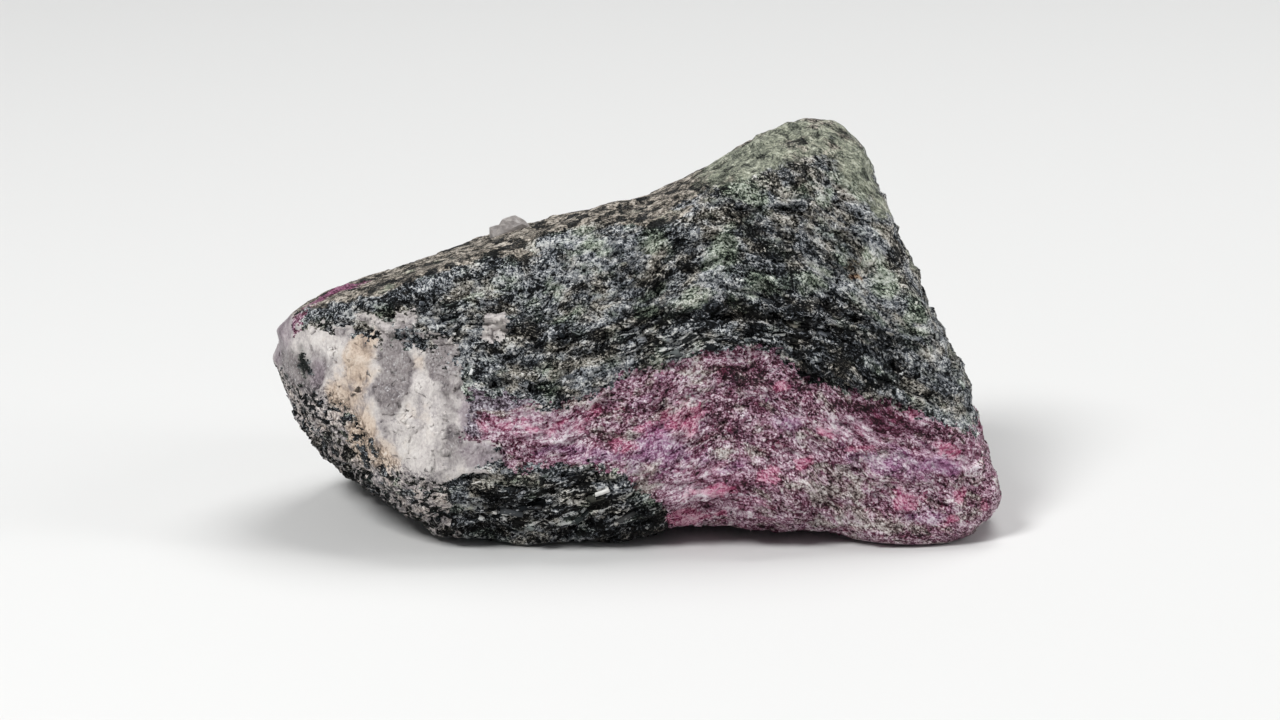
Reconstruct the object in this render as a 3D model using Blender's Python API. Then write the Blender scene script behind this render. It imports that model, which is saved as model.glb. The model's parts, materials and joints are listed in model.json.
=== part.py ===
"""Ruby in zoisite: one rough hand specimen, lying on its broken underside.

The stone is a single solid. A box of small cells is drawn in, along lines from the stone's heart, to
the faces that it broke along, whose meeting edges are rounded. Its lumps and hollows, the step where
the ruby layer is set back from the black rock, the ledges along the layering and the broken lumps
follow. A splinter of quartz that grew with the stone stands up from its weathered top.
Metres, +Z up, +X towards the thick end, the broad broken front towards -Y.
The origin is at the middle of the stone's footprint box, on the surface that it lies on.
"""

import math
from collections import namedtuple

import bmesh
import bpy
from mathutils import Vector, noise
from mathutils.bvhtree import BVHTree

MM = 0.001

# Driving dimensions: the stone's overall size.
LENGTH = 70 * MM
DEPTH = 38 * MM
HEIGHT = 38 * MM

HEART = Vector((2, 1, 16.5)) * MM  # every surface point lies on a line from here
CELLS = (41, 23, 22)  # cells of the box along X, Y and Z
EDGE_SHARPNESS = 20  # higher makes the edges between the broken faces crisper

# A face that the stone broke along: a point on it in millimetres, the compass heading that it looks
# to (0 is +X, 90 is +Y) and how far it looks up, both in degrees.
Face = namedtuple("Face", "name point heading rise")
FACES = (
    Face("front", (0, -13, 18), 270, 20),
    Face("front, right of the middle", (18, -12, 14), 281, 15),
    Face("front foot", (8, -16, 5), 268, -30),
    Face("left front foot", (-17.0, -14.0, 1.9), 248, -42),
    Face("weathered top", (-8, 4, 26.8), 154, 71),
    Face("crest over the front", (12, -5, 34), 262, 50),
    Face("summit", (14.5, 5, 38.4), 100, 80),
    Face("summit shoulder", (19.6, 4, 36.0), 8, 36),
    Face("right flank, upper", (24.6, 0, 25.6), 2, 23),
    Face("right flank, lower", (30.8, -1, 14), 355, 25),
    Face("right foot", (36.5, -4, 5), 352, -2),
    Face("right undercut", (34, -8, 1.2), 340, -42),
    Face("brow of the nose", (-29.8, 3, 23.4), 172, 54),
    Face("nose", (-36.2, -1, 16), 190, 22),
    Face("cheek of the nose", (-30, -9, 16), 238, 14),
    Face("left cut, upper", (-31, -3, 9.5), 200, -31),
    Face("left cut, lower", (-25, -6.5, 3), 208, -56),
    Face("back, upper", (2, 15, 24), 84, 34),
    Face("back, middle", (6, 20.5, 12), 92, 4),
    Face("back, left", (-20, 15, 13), 133, 8),
    Face("back, right", (24, 14, 12), 46, 12),
    Face("back undercut", (2, 18, 2.5), 96, -46),
    Face("underside", (0, 0, -0.7), 0, -90),
)

# Swellings and hollows, in millimetres: a point at its middle, its reach and how far it stands out.
Lump = namedtuple("Lump", "name point reach height")
LUMPS = (
    Lump("summit knob", (11.0, 4, 36.8), 7.3, 5.2),
    Lump("worn shoulder of the summit", (20.5, 3, 37), 4.0, -1.2),
    Lump("saddle behind the crest", (2, 6, 31), 7, -1.0),
    Lump("shelf over the ruby", (2, -10, 22), 9, 0.7),
    Lump("belly of the ruby", (13, -15, 10), 10, 0.9),
    Lump("arch under the ruby", (17.5, -14, 0), 4.5, -1.6),
    Lump("arch left of the ruby", (7, -14, 0), 9, -2.0),
    Lump("pod", (-20, -11, 14), 6, 0.6),
    Lump("worn tip of the nose", (-34.5, 0, 21), 4, -1.3),
    Lump("nick in the nose", (-33, -5, 13), 3.5, -0.9),
    Lump("bump on the flank", (27, 0, 22.5), 3, 0.5),
    Lump("nick in the flank", (28.6, -1, 19.5), 2.5, -0.7),
    Lump("swelling at the foot of the flank", (33.5, -4, 9.5), 4.0, 1.3),
    Lump("edge of the nose", (-29, -4, 21.5), 4.5, 0.9),
    Lump("dip in the worn top", (-14, 0, 27), 6.5, -0.6),
    Lump("hollow of the back", (-4, 19, 16), 9, -1.3),
    Lump("shoulder of the back", (16, 16, 20), 8, 0.8),
)

# The ruby layer's upper and lower edges, as X and Z in millimetres.
RUBY_TOP = ((-17, 14.6), (-7.5, 14), (0, 17), (9, 19), (14, 18.6), (18, 15.6), (26, 13.2), (36, 9.8))
RUBY_FOOT = ((-17, 10.5), (-9, 7.2), (-3, 8), (1, 5), (3, -2))
RUBY_SET_BACK = 0.55  # millimetres behind the black rock above it

# The splinter of quartz, in millimetres: its outline, as X and Z from its foot, and where it stands.
SPLINTER_OUTLINE = ((-2.0, -1.9), (-2.1, 0.3), (-1.2, 0.6), (-0.8, 1.2), (0.4, 1.6), (2.0, 0.6), (1.7, -1.9))
SPLINTER_PLACE = (-12.2, 6.0)
SPLINTER_THICKNESS = 1.3
SPLINTER_TURN = -14  # degrees about Z


def smooth(share):
    """A ramp from 0 to 1 with no kink at its ends."""
    share = min(max(share, 0.0), 1.0)
    return share * share * (3 - 2 * share)


def heading_and_rise(heading, rise):
    """The unit vector that looks to a compass heading and up by a rise."""
    level = math.cos(math.radians(rise))
    return Vector(
        (
            level * math.cos(math.radians(heading)),
            level * math.sin(math.radians(heading)),
            math.sin(math.radians(rise)),
        )
    )


def along(edge, x):
    """The height of an edge given by points, at x, eased from each point to the next."""
    for (x0, z0), (x1, z1) in zip(edge, edge[1:]):
        if x <= x1:
            return z0 + (z1 - z0) * smooth((x - x0) / (x1 - x0))
    return edge[-1][1]


def face_planes():
    """Each broken face as its normal and its distance from the heart, in metres."""
    planes = []
    for face in FACES:
        normal = heading_and_rise(face.heading, face.rise)
        planes.append((normal, normal.dot(Vector(face.point) * MM - HEART)))
    return planes


def reach(direction, planes):
    """How far the stone reaches from its heart: to the nearest face, with the edges rounded."""
    total = sum(max(0.0, normal.dot(direction) / far) ** EDGE_SHARPNESS for normal, far in planes)
    return total ** (-1 / EDGE_SHARPNESS)


def lumps_at(place):
    """The height of all swellings and hollows at a place, in millimetres."""
    total = 0.0
    for lump in LUMPS:
        away = (place - Vector(lump.point)).length / lump.reach
        total += lump.height * math.exp(-away * away)
    return total


def ruby_share(place):
    """1 inside the ruby layer, 0 outside it."""
    wander = 0.7 * noise.noise(place * 0.25)
    below_top = along(RUBY_TOP, place.x) + wander - place.z
    above_foot = place.z - along(RUBY_FOOT, place.x) + wander
    from_left = place.x + 16.5
    return smooth(below_top / 1.2) * smooth(above_foot / 1.2) * smooth(from_left / 3)


def ledges_at(place):
    """The steps along the layering, in millimetres. The layers arch over the ruby."""
    arch = 5.0 * math.exp(-(((place.x - 11) / 15) ** 2))
    level = place.z - arch - 0.12 * place.y + 1.6 * noise.noise(place * 0.11)
    step = level / 3.1 + 0.5 * noise.noise(Vector((place.x * 0.09, place.y * 0.09, level * 0.2)))
    share = step - math.floor(step)
    profile = smooth(share / 0.8) if share < 0.8 else smooth((1 - share) / 0.2)
    patchy = 0.35 + 0.65 * smooth(0.5 + 1.6 * noise.noise(place * 0.13 + Vector((7, 3, 5))))
    return 0.55 * (profile - 0.5) * patchy


def roughness_at(place):
    """Broken lumps from 2 mm to 12 mm across, in millimetres."""
    broad = noise.noise(place * 0.10 + Vector((3, 1, 8)))
    blocky = noise.noise(Vector((place.x * 0.20, place.y * 0.24, place.z * 0.30)))
    small = noise.noise(Vector((place.x * 0.42, place.y * 0.5, place.z * 0.62)))
    return 0.9 * broad + 0.55 * blocky + 0.30 * small


def surface_point(direction, planes):
    """Where the finished surface lies in a direction from the heart."""
    place = (HEART + direction * reach(direction, planes)) / MM
    ruby = ruby_share(place)
    relief = lumps_at(place) + roughness_at(place)
    relief += (1 - ruby) * ledges_at(place) - ruby * RUBY_SET_BACK
    return place * MM + direction * relief * MM


def cell_box(bm):
    """A box in the stone's proportions, centred on the origin and divided into cells."""
    bmesh.ops.create_cube(bm, size=1.0)
    bmesh.ops.scale(bm, vec=(LENGTH, DEPTH, HEIGHT), verts=bm.verts)
    for axis, cells in enumerate(CELLS):
        across = [e for e in bm.edges if abs((e.verts[0].co - e.verts[1].co)[axis]) > 1e-6]
        bmesh.ops.subdivide_edges(bm, edges=across, cuts=cells - 1, use_grid_fill=True)


def settle(bm):
    """Brings the stone to its overall size, with its underside worn flat on the ground."""
    ground = 0.0
    for vert in bm.verts:
        vert.co.z = max(vert.co.z, ground)
    sizes = (LENGTH, DEPTH, HEIGHT)
    for axis, size in enumerate(sizes):
        low = min(v.co[axis] for v in bm.verts)
        high = max(v.co[axis] for v in bm.verts)
        start = ground if axis == 2 else -size / 2
        for vert in bm.verts:
            vert.co[axis] = start + (vert.co[axis] - low) * size / (high - low)


def make_stone(collection, material):
    planes = face_planes()
    bm = bmesh.new()
    cell_box(bm)
    for vert in bm.verts:
        vert.co = surface_point(vert.co.normalized(), planes)
    settle(bm)
    bmesh.ops.recalc_face_normals(bm, faces=bm.faces)
    mesh = bpy.data.meshes.new("stone")
    bm.to_mesh(mesh)
    bm.free()
    mesh.shade_smooth()
    mesh.materials.append(material)
    stone = bpy.data.objects.new("stone", mesh)
    collection.objects.link(stone)
    return stone


def make_splinter(collection, stone):
    """The splinter, standing in the top of the stone where SPLINTER_PLACE is."""
    curve = bpy.data.curves.new("splinter of quartz", "CURVE")
    curve.dimensions = "2D"
    curve.fill_mode = "BOTH"
    curve.extrude = SPLINTER_THICKNESS * MM / 2
    outline = curve.splines.new("POLY")
    outline.points.add(len(SPLINTER_OUTLINE) - 1)
    for point, (x, z) in zip(outline.points, SPLINTER_OUTLINE):
        point.co = (x * MM, z * MM, 0, 1)
    outline.use_cyclic_u = True
    drawn = bpy.data.objects.new("splinter outline", curve)
    collection.objects.link(drawn)
    surface = BVHTree.FromObject(stone, bpy.context.evaluated_depsgraph_get())
    above = Vector((SPLINTER_PLACE[0] * MM, SPLINTER_PLACE[1] * MM, 2 * HEIGHT))
    foot, _, _, _ = surface.ray_cast(above, Vector((0, 0, -1)))
    drawn.location = foot
    drawn.rotation_euler = (math.radians(90), 0, math.radians(SPLINTER_TURN))

    depsgraph = bpy.context.evaluated_depsgraph_get()
    mesh = bpy.data.meshes.new_from_object(drawn.evaluated_get(depsgraph))
    bm = bmesh.new()
    bm.from_mesh(mesh)
    bmesh.ops.remove_doubles(bm, verts=bm.verts, dist=0.001 * MM)
    bmesh.ops.recalc_face_normals(bm, faces=bm.faces)
    bm.to_mesh(mesh)
    bm.free()
    splinter = bpy.data.objects.new("splinter", mesh)
    splinter.matrix_world = drawn.matrix_world
    collection.objects.link(splinter)
    bpy.data.objects.remove(drawn, do_unlink=True)
    splinter.hide_render = True
    splinter.display_type = "WIRE"
    return splinter


def join(stone, shape):
    """Fuses a shape into the stone's solid."""
    union = stone.modifiers.new("fused " + shape.name, "BOOLEAN")
    union.operation = "UNION"
    union.solver = "EXACT"
    union.object = shape


def black_rock():
    material = bpy.data.materials.new("black amphibole and green zoisite")
    material.use_nodes = True
    surface = material.node_tree.nodes["Principled BSDF"]
    surface.inputs["Base Color"].default_value = (0.09, 0.10, 0.095, 1)
    surface.inputs["Roughness"].default_value = 0.6
    surface.inputs["Metallic"].default_value = 0.0
    return material


def main():
    for old in list(bpy.data.objects):
        bpy.data.objects.remove(old, do_unlink=True)
    specimen = bpy.data.collections.new("ruby in zoisite")
    bpy.context.scene.collection.children.link(specimen)
    shapes = bpy.data.collections.new("shapes fused into the stone")
    bpy.context.scene.collection.children.link(shapes)
    stone = make_stone(specimen, black_rock())
    join(stone, make_splinter(shapes, stone))


main()
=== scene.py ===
"""Dresses a rough hand specimen of ruby in zoisite: its broken surface, its grains, a splinter and the stage.

Places and lengths in the tables of features, and in the arrays that the shape functions take, are in
millimetres in the stone's own frame: +Z up, +X towards the thick end, the broken front towards -Y. Numbers
called per_mm are waves or cells to the millimetre, and a shift only picks another part of the same noise.
"""

import json
import math
from collections import namedtuple

import bmesh
import bpy
import numpy as np
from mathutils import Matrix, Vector, noise

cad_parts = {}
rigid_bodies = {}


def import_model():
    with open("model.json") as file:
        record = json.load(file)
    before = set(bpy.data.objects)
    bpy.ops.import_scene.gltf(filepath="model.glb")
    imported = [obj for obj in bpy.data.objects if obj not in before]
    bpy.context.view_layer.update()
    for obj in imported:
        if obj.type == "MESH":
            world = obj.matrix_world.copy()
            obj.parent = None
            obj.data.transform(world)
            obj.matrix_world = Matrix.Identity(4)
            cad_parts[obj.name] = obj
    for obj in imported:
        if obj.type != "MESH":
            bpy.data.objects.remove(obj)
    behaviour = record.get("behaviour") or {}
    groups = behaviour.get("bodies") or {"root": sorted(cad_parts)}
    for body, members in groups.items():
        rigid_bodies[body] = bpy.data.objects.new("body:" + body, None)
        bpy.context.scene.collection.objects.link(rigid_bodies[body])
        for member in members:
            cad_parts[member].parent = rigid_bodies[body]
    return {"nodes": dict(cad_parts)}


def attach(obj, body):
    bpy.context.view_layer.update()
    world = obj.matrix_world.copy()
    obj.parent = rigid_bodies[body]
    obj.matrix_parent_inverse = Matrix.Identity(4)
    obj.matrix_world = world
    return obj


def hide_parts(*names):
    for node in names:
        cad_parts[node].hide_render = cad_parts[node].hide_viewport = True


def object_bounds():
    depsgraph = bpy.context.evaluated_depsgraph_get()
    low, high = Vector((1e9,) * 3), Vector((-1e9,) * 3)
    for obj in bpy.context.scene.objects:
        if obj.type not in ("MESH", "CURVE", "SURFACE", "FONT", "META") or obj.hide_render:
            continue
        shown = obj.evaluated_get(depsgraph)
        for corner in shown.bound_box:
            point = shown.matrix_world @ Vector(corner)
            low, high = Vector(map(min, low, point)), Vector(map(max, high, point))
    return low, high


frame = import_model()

bl_info = {
    "name": "Ruby in zoisite specimen",
    "version": (1, 0, 0),
    "blender": (4, 5, 0),
    "location": "3D View > Sidebar > Ruby in zoisite",
    "description": "Makes the surface, the crystal grains and the stage of a rough hand specimen",
    "category": "Object",
}

NODE = "stone"
BODY = "root"
MM = 0.001
MICRON = 1e-6
NOISE_SEED = 1
CAD_BOX = [[float(value) for value in corner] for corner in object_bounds()]

# What a square of the surface is made of.
HOST, RUBY, POD = range(3)

# The rock's layers arch over the ruby, in a bell curve along X, and from there they dip to the right.
ARCH_RISE = 4.6
ARCH_MIDDLE = 8.5
ARCH_WIDTH = 10
DIP_START = 16
DIP = 0.24

# The ruby layer's upper and lower edges on the broken front, as X and Z, and where it ends on the left.
RUBY_TOP = ((-17, 16.2), (-14.4, 15.9), (-11.7, 15.8), (-9.6, 15.1), (-8.4, 14.2), (-5.9, 14.9), (-3.7, 15.7),
            (-1.3, 17.2), (1.7, 18), (5, 18.8), (9.6, 19.4), (13, 19), (14.7, 17.3), (17, 15.8), (21, 14.7),
            (24.6, 13.6), (28.4, 12), (32, 9.6), (36, 7.5))
RUBY_FOOT = ((-17, 12.0), (-14.4, 11.4), (-12.5, 11.2), (-12.0, 8.8), (-7.5, 9.0), (-5.4, 9.3), (-3.7, 9.1),
             (-1.3, 8.5), (0.2, 6.6), (1.6, 5.2), (2.8, 4.3), (3.0, 1.6), (3.3, -2))
RUBY_LEFT = -15.2
# The white pod's upper and lower edges, its right edge as Z and X, and the right edge of the speckled cut.
POD_TOP = ((-36, 20.8), (-33.4, 21.4), (-32.2, 21.6), (-31.2, 20.8), (-29.7, 20.8), (-28.4, 20.5),
           (-27.2, 21.0), (-26.5, 20.4), (-24.3, 20.5), (-23.6, 20.1), (-21.9, 20.3), (-20.5, 20.0),
           (-19.1, 20.2), (-17.3, 19.3), (-14, 18.0))
POD_FOOT = ((-35, 13.4), (-32.3, 13.3), (-30.2, 13.6), (-27.6, 12.9), (-25.6, 11.2), (-24.2, 9.4),
            (-22.6, 8.0), (-21, 7.1), (-19.4, 6.9), (-17.6, 7.8), (-16, 8.8), (-13, 9.6))
POD_RIGHT = ((6, -17.4), (9, -14.4), (11.3, -13.0), (11.6, -14.4), (14, -15.0), (16, -16.2), (19, -17.0))
CUT_RIGHT = ((-1, -15.5), (3, -17.0), (7, -18.5), (12, -24.0), (20, -34.0))

# Colour changes inside the zones, by kind: a middle, the reach along X, Y and Z, and how strong it is.
SPOTS = {
    "green": (
        ((9.9, -8.4, 32.9), (2.0, 3, 0.9), 1.0),
        ((8.4, -11.3, 28.4), (1.3, 3, 1.7), 0.9),
        ((1.6, -11.2, 29.1), (2.2, 3, 0.7), 0.6),
        ((0.7, -14.6, 22.8), (1.0, 3, 0.8), 0.8),
        ((11.4, -13.3, 25.0), (2.4, 3, 0.9), 0.6),
        ((23.3, -10.1, 24.2), (1.3, 3, 1.6), 1.0),
        ((-3.4, -12.1, 28.6), (1.0, 3, 0.9), 0.5),
        ((-7.6, -12.9, 24.8), (0.9, 3, 1.1), 0.5),
        ((-12.7, -12.5, 24.9), (1.8, 3, 0.8), 0.4),
        ((5.9, -14.3, 24.4), (3.0, 3, 0.9), 0.6),
        ((17.6, -8.9, 32.2), (0.9, 3, 0.8), 0.8),
        ((20.7, -7.2, 34.4), (1.3, 3, 2.6), 0.9),
        ((14.5, -12.2, 25.2), (2.5, 3, 0.8), 0.5),
        ((26.2, -10.5, 21.5), (1.2, 3, 0.9), 0.8),
        ((17.6, -14.0, 15.6), (1.2, 3, 0.8), 0.6),
        ((7.0, -13.5, 26.4), (1.4, 3, 2.4), 0.5),
    ),
    "pale": (
        ((-3.4, -12.1, 28.5), (2.0, 3, 1.4), 0.9),
        ((-7.6, -12.9, 24.8), (1.1, 3, 1.1), 0.9),
        ((-3.8, -12.4, 27.8), (4.8, 3, 2.0), 1.0),
        ((-10.5, -15.3, 18.6), (3.0, 3, 0.9), 0.5),
        ((-17.9, -12.9, 24.6), (2.2, 3, 1.0), 0.6),
        ((-19.5, -14.4, 21.4), (5.0, 4, 1.1), 0.4),
        ((-14.9, -12.9, 24.4), (1.2, 3, 1.0), 0.7),
        ((13.0, -11.5, 27.5), (6, 3, 3.5), 0.30),
        ((20.5, -10.0, 27.6), (4, 3, 4.5), 0.5),
        ((21.5, -9.5, 30.5), (1.6, 3, 2.5), 0.5),
        ((27.5, -11.2, 18.2), (2.0, 4, 3.4), 0.65),
        ((30.4, -11.0, 13.0), (1.8, 5, 3.5), 0.6),
        ((-3.6, -16.0, 16.6), (3.4, 3, 1.4), 1.0),
        ((-0.6, -11.8, 29.8), (1.6, 3, 1.0), 0.9),
        ((0.8, -12.6, 27.5), (1.6, 3, 1.4), 0.9),
        ((7.0, -13.5, 26.4), (1.6, 3, 2.8), 1.0),
        ((19.9, -10.7, 26.9), (3.0, 3, 1.8), 0.7),
        ((23.6, -11.8, 20.9), (1.3, 3, 1.5), 0.9),
        ((17.8, -14.3, 17.4), (1.4, 3, 1.6), 0.7),
        ((-11.5, -15.9, 17.0), (1.6, 3, 1.2), 0.7),
        ((-15.5, -17.4, 5.1), (1.6, 4, 1.6), 0.9),
        ((-12.4, -18.0, 7.6), (2.8, 3, 0.5), 0.4),
        ((-1.5, -14.2, 24.0), (5.0, 3, 1.0), 0.6),
        ((13.1, -9.3, 33.0), (1.4, 3, 1.0), 0.8),
        ((6.8, -14.3, 23.9), (2.2, 3, 0.9), 0.8),
        ((22.4, -9.2, 29.0), (1.8, 5, 3.6), 1.0),
        ((0.2, -15.5, 18.7), (1.6, 3, 0.9), 0.8),
        ((-10.1, -18.2, 8.6), (2.6, 3, 0.9), 0.9),
        ((29.1, -12.0, 15.4), (1.3, 4, 1.4), 0.8),
        ((-26.5, -14.0, 10.5), (1.6, 5, 3.0), 0.5),
    ),
    # Dark spots are dark rock; along the furrows, in the wedge over the ruby and low on the foot, where the
    # underside meets the floor, they are also painted shade.
    "dark": (
        ((14.5, -13.8, 18.3), (1.4, 3, 1.0), 0.5),
        ((12.0, -10.9, 28.9), (3.0, 3, 0.9), 0.4),
        ((-0.6, -12.7, 26.9), (3.0, 3, 1.1), 0.2),
        ((1.6, -13.6, 25.3), (2.0, 3, 0.8), 0.5),
        ((5.6, -12.4, 27.0), (1.6, 3, 1.0), 0.3),
        ((9.7, -13.9, 23.5), (1.6, 3, 1.0), 0.8),
        ((15.6, -8.6, 33.2), (1.2, 3, 0.7), 0.3),
        ((6.3, -14.5, 22.4), (2.0, 3, 0.6), 0.5),
        ((12.2, -14.0, 21.3), (2.4, 3, 1.2), 1.0),
        ((24.0, -8.9, 26.8), (0.8, 3, 0.9), 0.4),
        ((20.2, -10.1, 27.9), (1.0, 3, 0.7), 0.7),
        ((9.6, -14.0, 22.3), (9, 3, 1.5), 0.75),
        ((17.0, -13.4, 20.4), (6, 3, 1.6), 0.6),
        ((20.8, -12.8, 19.6), (5.5, 3, 1.5), 0.45),
        ((17.6, -14.2, 16.9), (3.0, 3, 1.5), 1.0),
        ((21.6, -13.6, 15.8), (3.0, 3, 0.8), 0.7),
        ((-1.6, -15.1, 20.2), (7.5, 3, 1.1), 0.4),
        ((7.8, -9.6, 32.4), (1.4, 3, 0.8), 0.4),
        ((12.6, -13.3, 25.1), (2.2, 3, 2.6), 0.5),
        ((-7.8, -15.0, 20.6), (3.2, 3, 1.4), 0.7),
        ((-4.0, -15.3, 19.4), (2.4, 3, 1.2), 0.6),
        ((9.9, -9.9, 32.0), (1.8, 3, 1.0), 0.5),
        ((21.2, -13.6, 17.2), (1.4, 3, 1.0), 0.5),
        ((23.6, -13.1, 16.7), (2.8, 3, 1.0), 0.4),
        ((-7.6, -16.0, 15.9), (2.0, 3, 0.9), 0.3),
        ((-7.5, -17.5, 4.6), (8.5, 5, 3.6), 0.8),
        ((-1.0, -16.5, 3.0), (4.0, 5, 3.6), 1.0),
        ((-21, -12.9, 23.2), (4.5, 3, 1.1), 0.2),
    ),
    "rust": (
        ((20.7, -10.4, 25.2), (0.55, 2, 0.5), 0.9),
        ((20.1, -10.6, 26.4), (0.9, 2, 0.6), 0.45),
        ((-22.9, -14.2, 20.9), (0.4, 2, 0.35), 1.0),
    ),
    "pink": (
        ((5.6, -16.4, 13.3), (0.7, 3, 0.8), 1.0),
        ((4.3, -16.5, 13.0), (1.7, 3, 1.4), 0.6),
        ((1.3, -17.0, 12.2), (1.5, 3, 0.6), 0.7),
        ((-1.5, -17.6, 11.4), (1.4, 3, 0.7), 0.6),
        ((13.3, -14.3, 15.7), (0.9, 3, 0.6), 0.9),
        ((15.6, -16.3, 8.8), (0.7, 3, 0.6), 1.0),
        ((12.6, -17.1, 7.9), (1.1, 3, 0.6), 0.9),
        ((6.9, -17.3, 6.3), (2.2, 3, 0.45), 1.0),
        ((7.5, -15.5, 3.3), (0.8, 3, 0.6), 0.8),
        # The wide spot low on the foot also lightens its shaded underside: painted light.
        ((4.4, -15.6, 3.0), (2.4, 3, 1.2), 1.0),
        ((17.5, -15.4, 11.6), (0.7, 3, 0.5), 0.7),
        ((20.8, -15.2, 10.0), (1.5, 3, 0.5), 0.6),
        ((25.8, -13.3, 12.8), (0.8, 3, 0.5), 0.8),
        ((29.2, -13.6, 9.5), (1.1, 3, 0.5), 0.8),
        ((25.5, -15.3, 5.1), (1.5, 3, 0.8), 0.9),
        ((30.2, -14.5, 5.0), (0.7, 3, 0.6), 0.8),
        ((29.3, -15.0, 2.7), (0.8, 3, 0.6), 0.7),
        ((32.7, -13.9, 3.8), (0.5, 3, 0.9), 0.6),
    ),
    "maroon": (
        ((9.8, -15.1, 16.8), (2.2, 3, 1.0), 1.0),
        ((10.4, -16.0, 12.8), (2.8, 3, 1.3), 0.4),
        ((2.6, -15.7, 16.2), (2.0, 3, 0.6), 0.35),
        ((0.3, -16.3, 14.4), (2.2, 3, 0.4), 0.3),
        ((5.2, -17.7, 7.8), (1.2, 3, 0.8), 0.5),
        ((21.4, -14.0, 13.6), (2.6, 3, 0.6), 1.0),
        ((23.7, -14.2, 11.9), (2.0, 3, 1.1), 1.0),
        ((19.0, -15.4, 10.2), (1.6, 3, 0.5), 0.35),
        ((28.7, -12.8, 12.3), (1.2, 3, 1.5), 0.5),
        ((11.5, -16.1, 12.0), (3.4, 3, 0.7), 0.6),
        ((9.9, -17.6, 6.8), (3.2, 3, 1.1), 0.9),
        ((5.9, -16.9, 11.2), (1.6, 3, 0.5), 0.4),
        ((-11.0, -16.6, 15.0), (3.2, 3, 0.7), 0.6),
        ((32.7, -13.3, 6.7), (0.7, 3, 0.7), 0.6),
        ((27.5, -15.3, 1.6), (3.0, 3, 0.8), 0.6),
        ((26.5, -14.5, 7.0), (5.0, 5, 4.5), 0.2),
        ((9.2, -16.4, 5.4), (3.0, 4, 1.6), 0.5),
        ((13.0, -15.4, 3.4), (4.0, 4, 1.4), 0.15),
    ),
    "lilac": (
        ((24.5, -15.5, 8.3), (4, 4, 2.0), 0.6),
        ((2.6, -17.2, 10.6), (2.2, 4, 2.0), 0.7),
        ((0.8, -17.3, 9.6), (1.4, 4, 3.0), 0.5),
        ((7.5, -16.8, 9.0), (3.0, 4, 1.2), 0.4),
        ((28.6, -14.2, 7.8), (2.6, 3, 1.0), 0.9),
        ((26.6, -15.5, 3.0), (2.6, 3, 0.9), 0.6),
        ((13.5, -15.7, 12.5), (2.2, 3, 0.6), 0.6),
        ((-4.0, -17.7, 10.1), (4.8, 3, 0.9), 0.6),
    ),
    "mauve": (
        ((-12.8, -16.5, 15.1), (3.0, 3, 0.9), 1.0),
        ((-15.2, -17.2, 13.4), (1.0, 3, 2.0), 0.9),
        ((-14.4, -18.4, 10.2), (2.4, 3, 1.4), 0.7),
        ((-33.4, -7.0, 19.4), (1.4, 4, 1.8), 0.8),
        ((-34.4, -4.5, 16.8), (0.8, 4, 1.8), 0.7),
        ((-29.8, -11.9, 16.4), (0.9, 4, 1.6), 0.7),
    ),
    "ash": (
        ((5.9, -15.2, 16.7), (1.3, 3, 0.9), 0.9),
        ((8.3, -17.0, 10.2), (1.2, 3, 0.5), 1.0),
        ((10.8, -16.9, 9.9), (1.2, 3, 0.6), 0.6),
        ((17.5, -16.0, 8.6), (0.8, 3, 0.7), 0.9),
        ((15.9, -16.9, 6.8), (3.2, 3, 1.1), 0.7),
        ((20.1, -16.0, 3.4), (2.4, 3, 1.3), 0.9),
        ((21.8, -15.9, 7.0), (3, 3, 1.2), 0.5),
        ((-13.9, -16.8, 14.1), (1.0, 3, 0.4), 1.0),
        ((-9.6, -16.8, 14.0), (3.6, 3, 0.55), 1.0),
        ((7.6, -17.4, 9.0), (1.8, 3, 1.3), 0.8),
        ((30.5, -14.5, 4.5), (2.2, 4, 2.4), 0.6),
        ((23.2, -15.5, 8.1), (2.2, 4, 1.6), 0.6),
        ((3.8, -16.4, 14.0), (1.6, 3, 0.9), 0.5),
        ((-2.1, -17.4, 12.2), (2.0, 3, 1.2), 0.5),
        ((-4.0, -16.6, 14.8), (3.0, 3, 0.9), 0.8),
        ((6.4, -15.2, 17.8), (1.2, 3, 0.9), 0.7),
        ((9.8, -14.9, 17.6), (0.9, 3, 0.9), 0.5),
        ((1.0, -17.8, 8.2), (1.5, 3, 2.0), 0.9),
        ((19.0, -16.3, 6.2), (3.0, 4, 2.4), 0.9),
        ((22.5, -15.5, 2.0), (5.5, 4, 1.6), 0.8),
        ((15.0, -16.0, 11.8), (3.6, 4, 2.2), 0.35),
        ((17.8, -15.6, 5.6), (3.4, 4, 2.4), 0.5),
        ((12.0, -17.0, 5.0), (2.6, 4, 1.6), 0.3),
    ),
    "combed": (
        ((-9.0, -17.0, 12.6), (4.6, 4, 1.6), 1.0),
        ((6.0, -16.8, 6.6), (3.6, 4, 2.0), 1.0),
        ((9.6, -16.5, 4.6), (3.0, 4, 1.6), 0.8),
        ((22.0, -14.6, 11.6), (4.6, 4, 1.2), 1.0),
        ((30.0, -13.6, 8.8), (3.4, 4, 1.2), 0.7),
    ),
    # The skin spots mark worn skin on the summit's right edge and lighten it there, partly as painted light.
    "skin": (
        ((21.4, -3.0, 34.0), (2.4, 6, 3.2), 1.0),
        ((19.8, -6.8, 35.0), (1.6, 4, 1.8), 0.9),
        ((22.8, -6.5, 31.4), (1.4, 4, 2.0), 0.8),
    ),
    "cream": (
        ((-25.4, -13.8, 19.4), (1.2, 4, 1.3), 1.0),
        ((-26.3, -13.8, 17.1), (1.2, 4, 2.0), 1.0),
        ((-26.2, -14.2, 15.6), (2.0, 4, 2.6), 0.75),
        ((-27.3, -13.6, 14.7), (1.8, 4, 1.3), 0.9),
        ((-25.4, -15.2, 11.6), (1.3, 4, 2.4), 0.9),
        ((-23.4, -16.6, 9.6), (1.5, 4, 1.6), 0.6),
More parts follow.
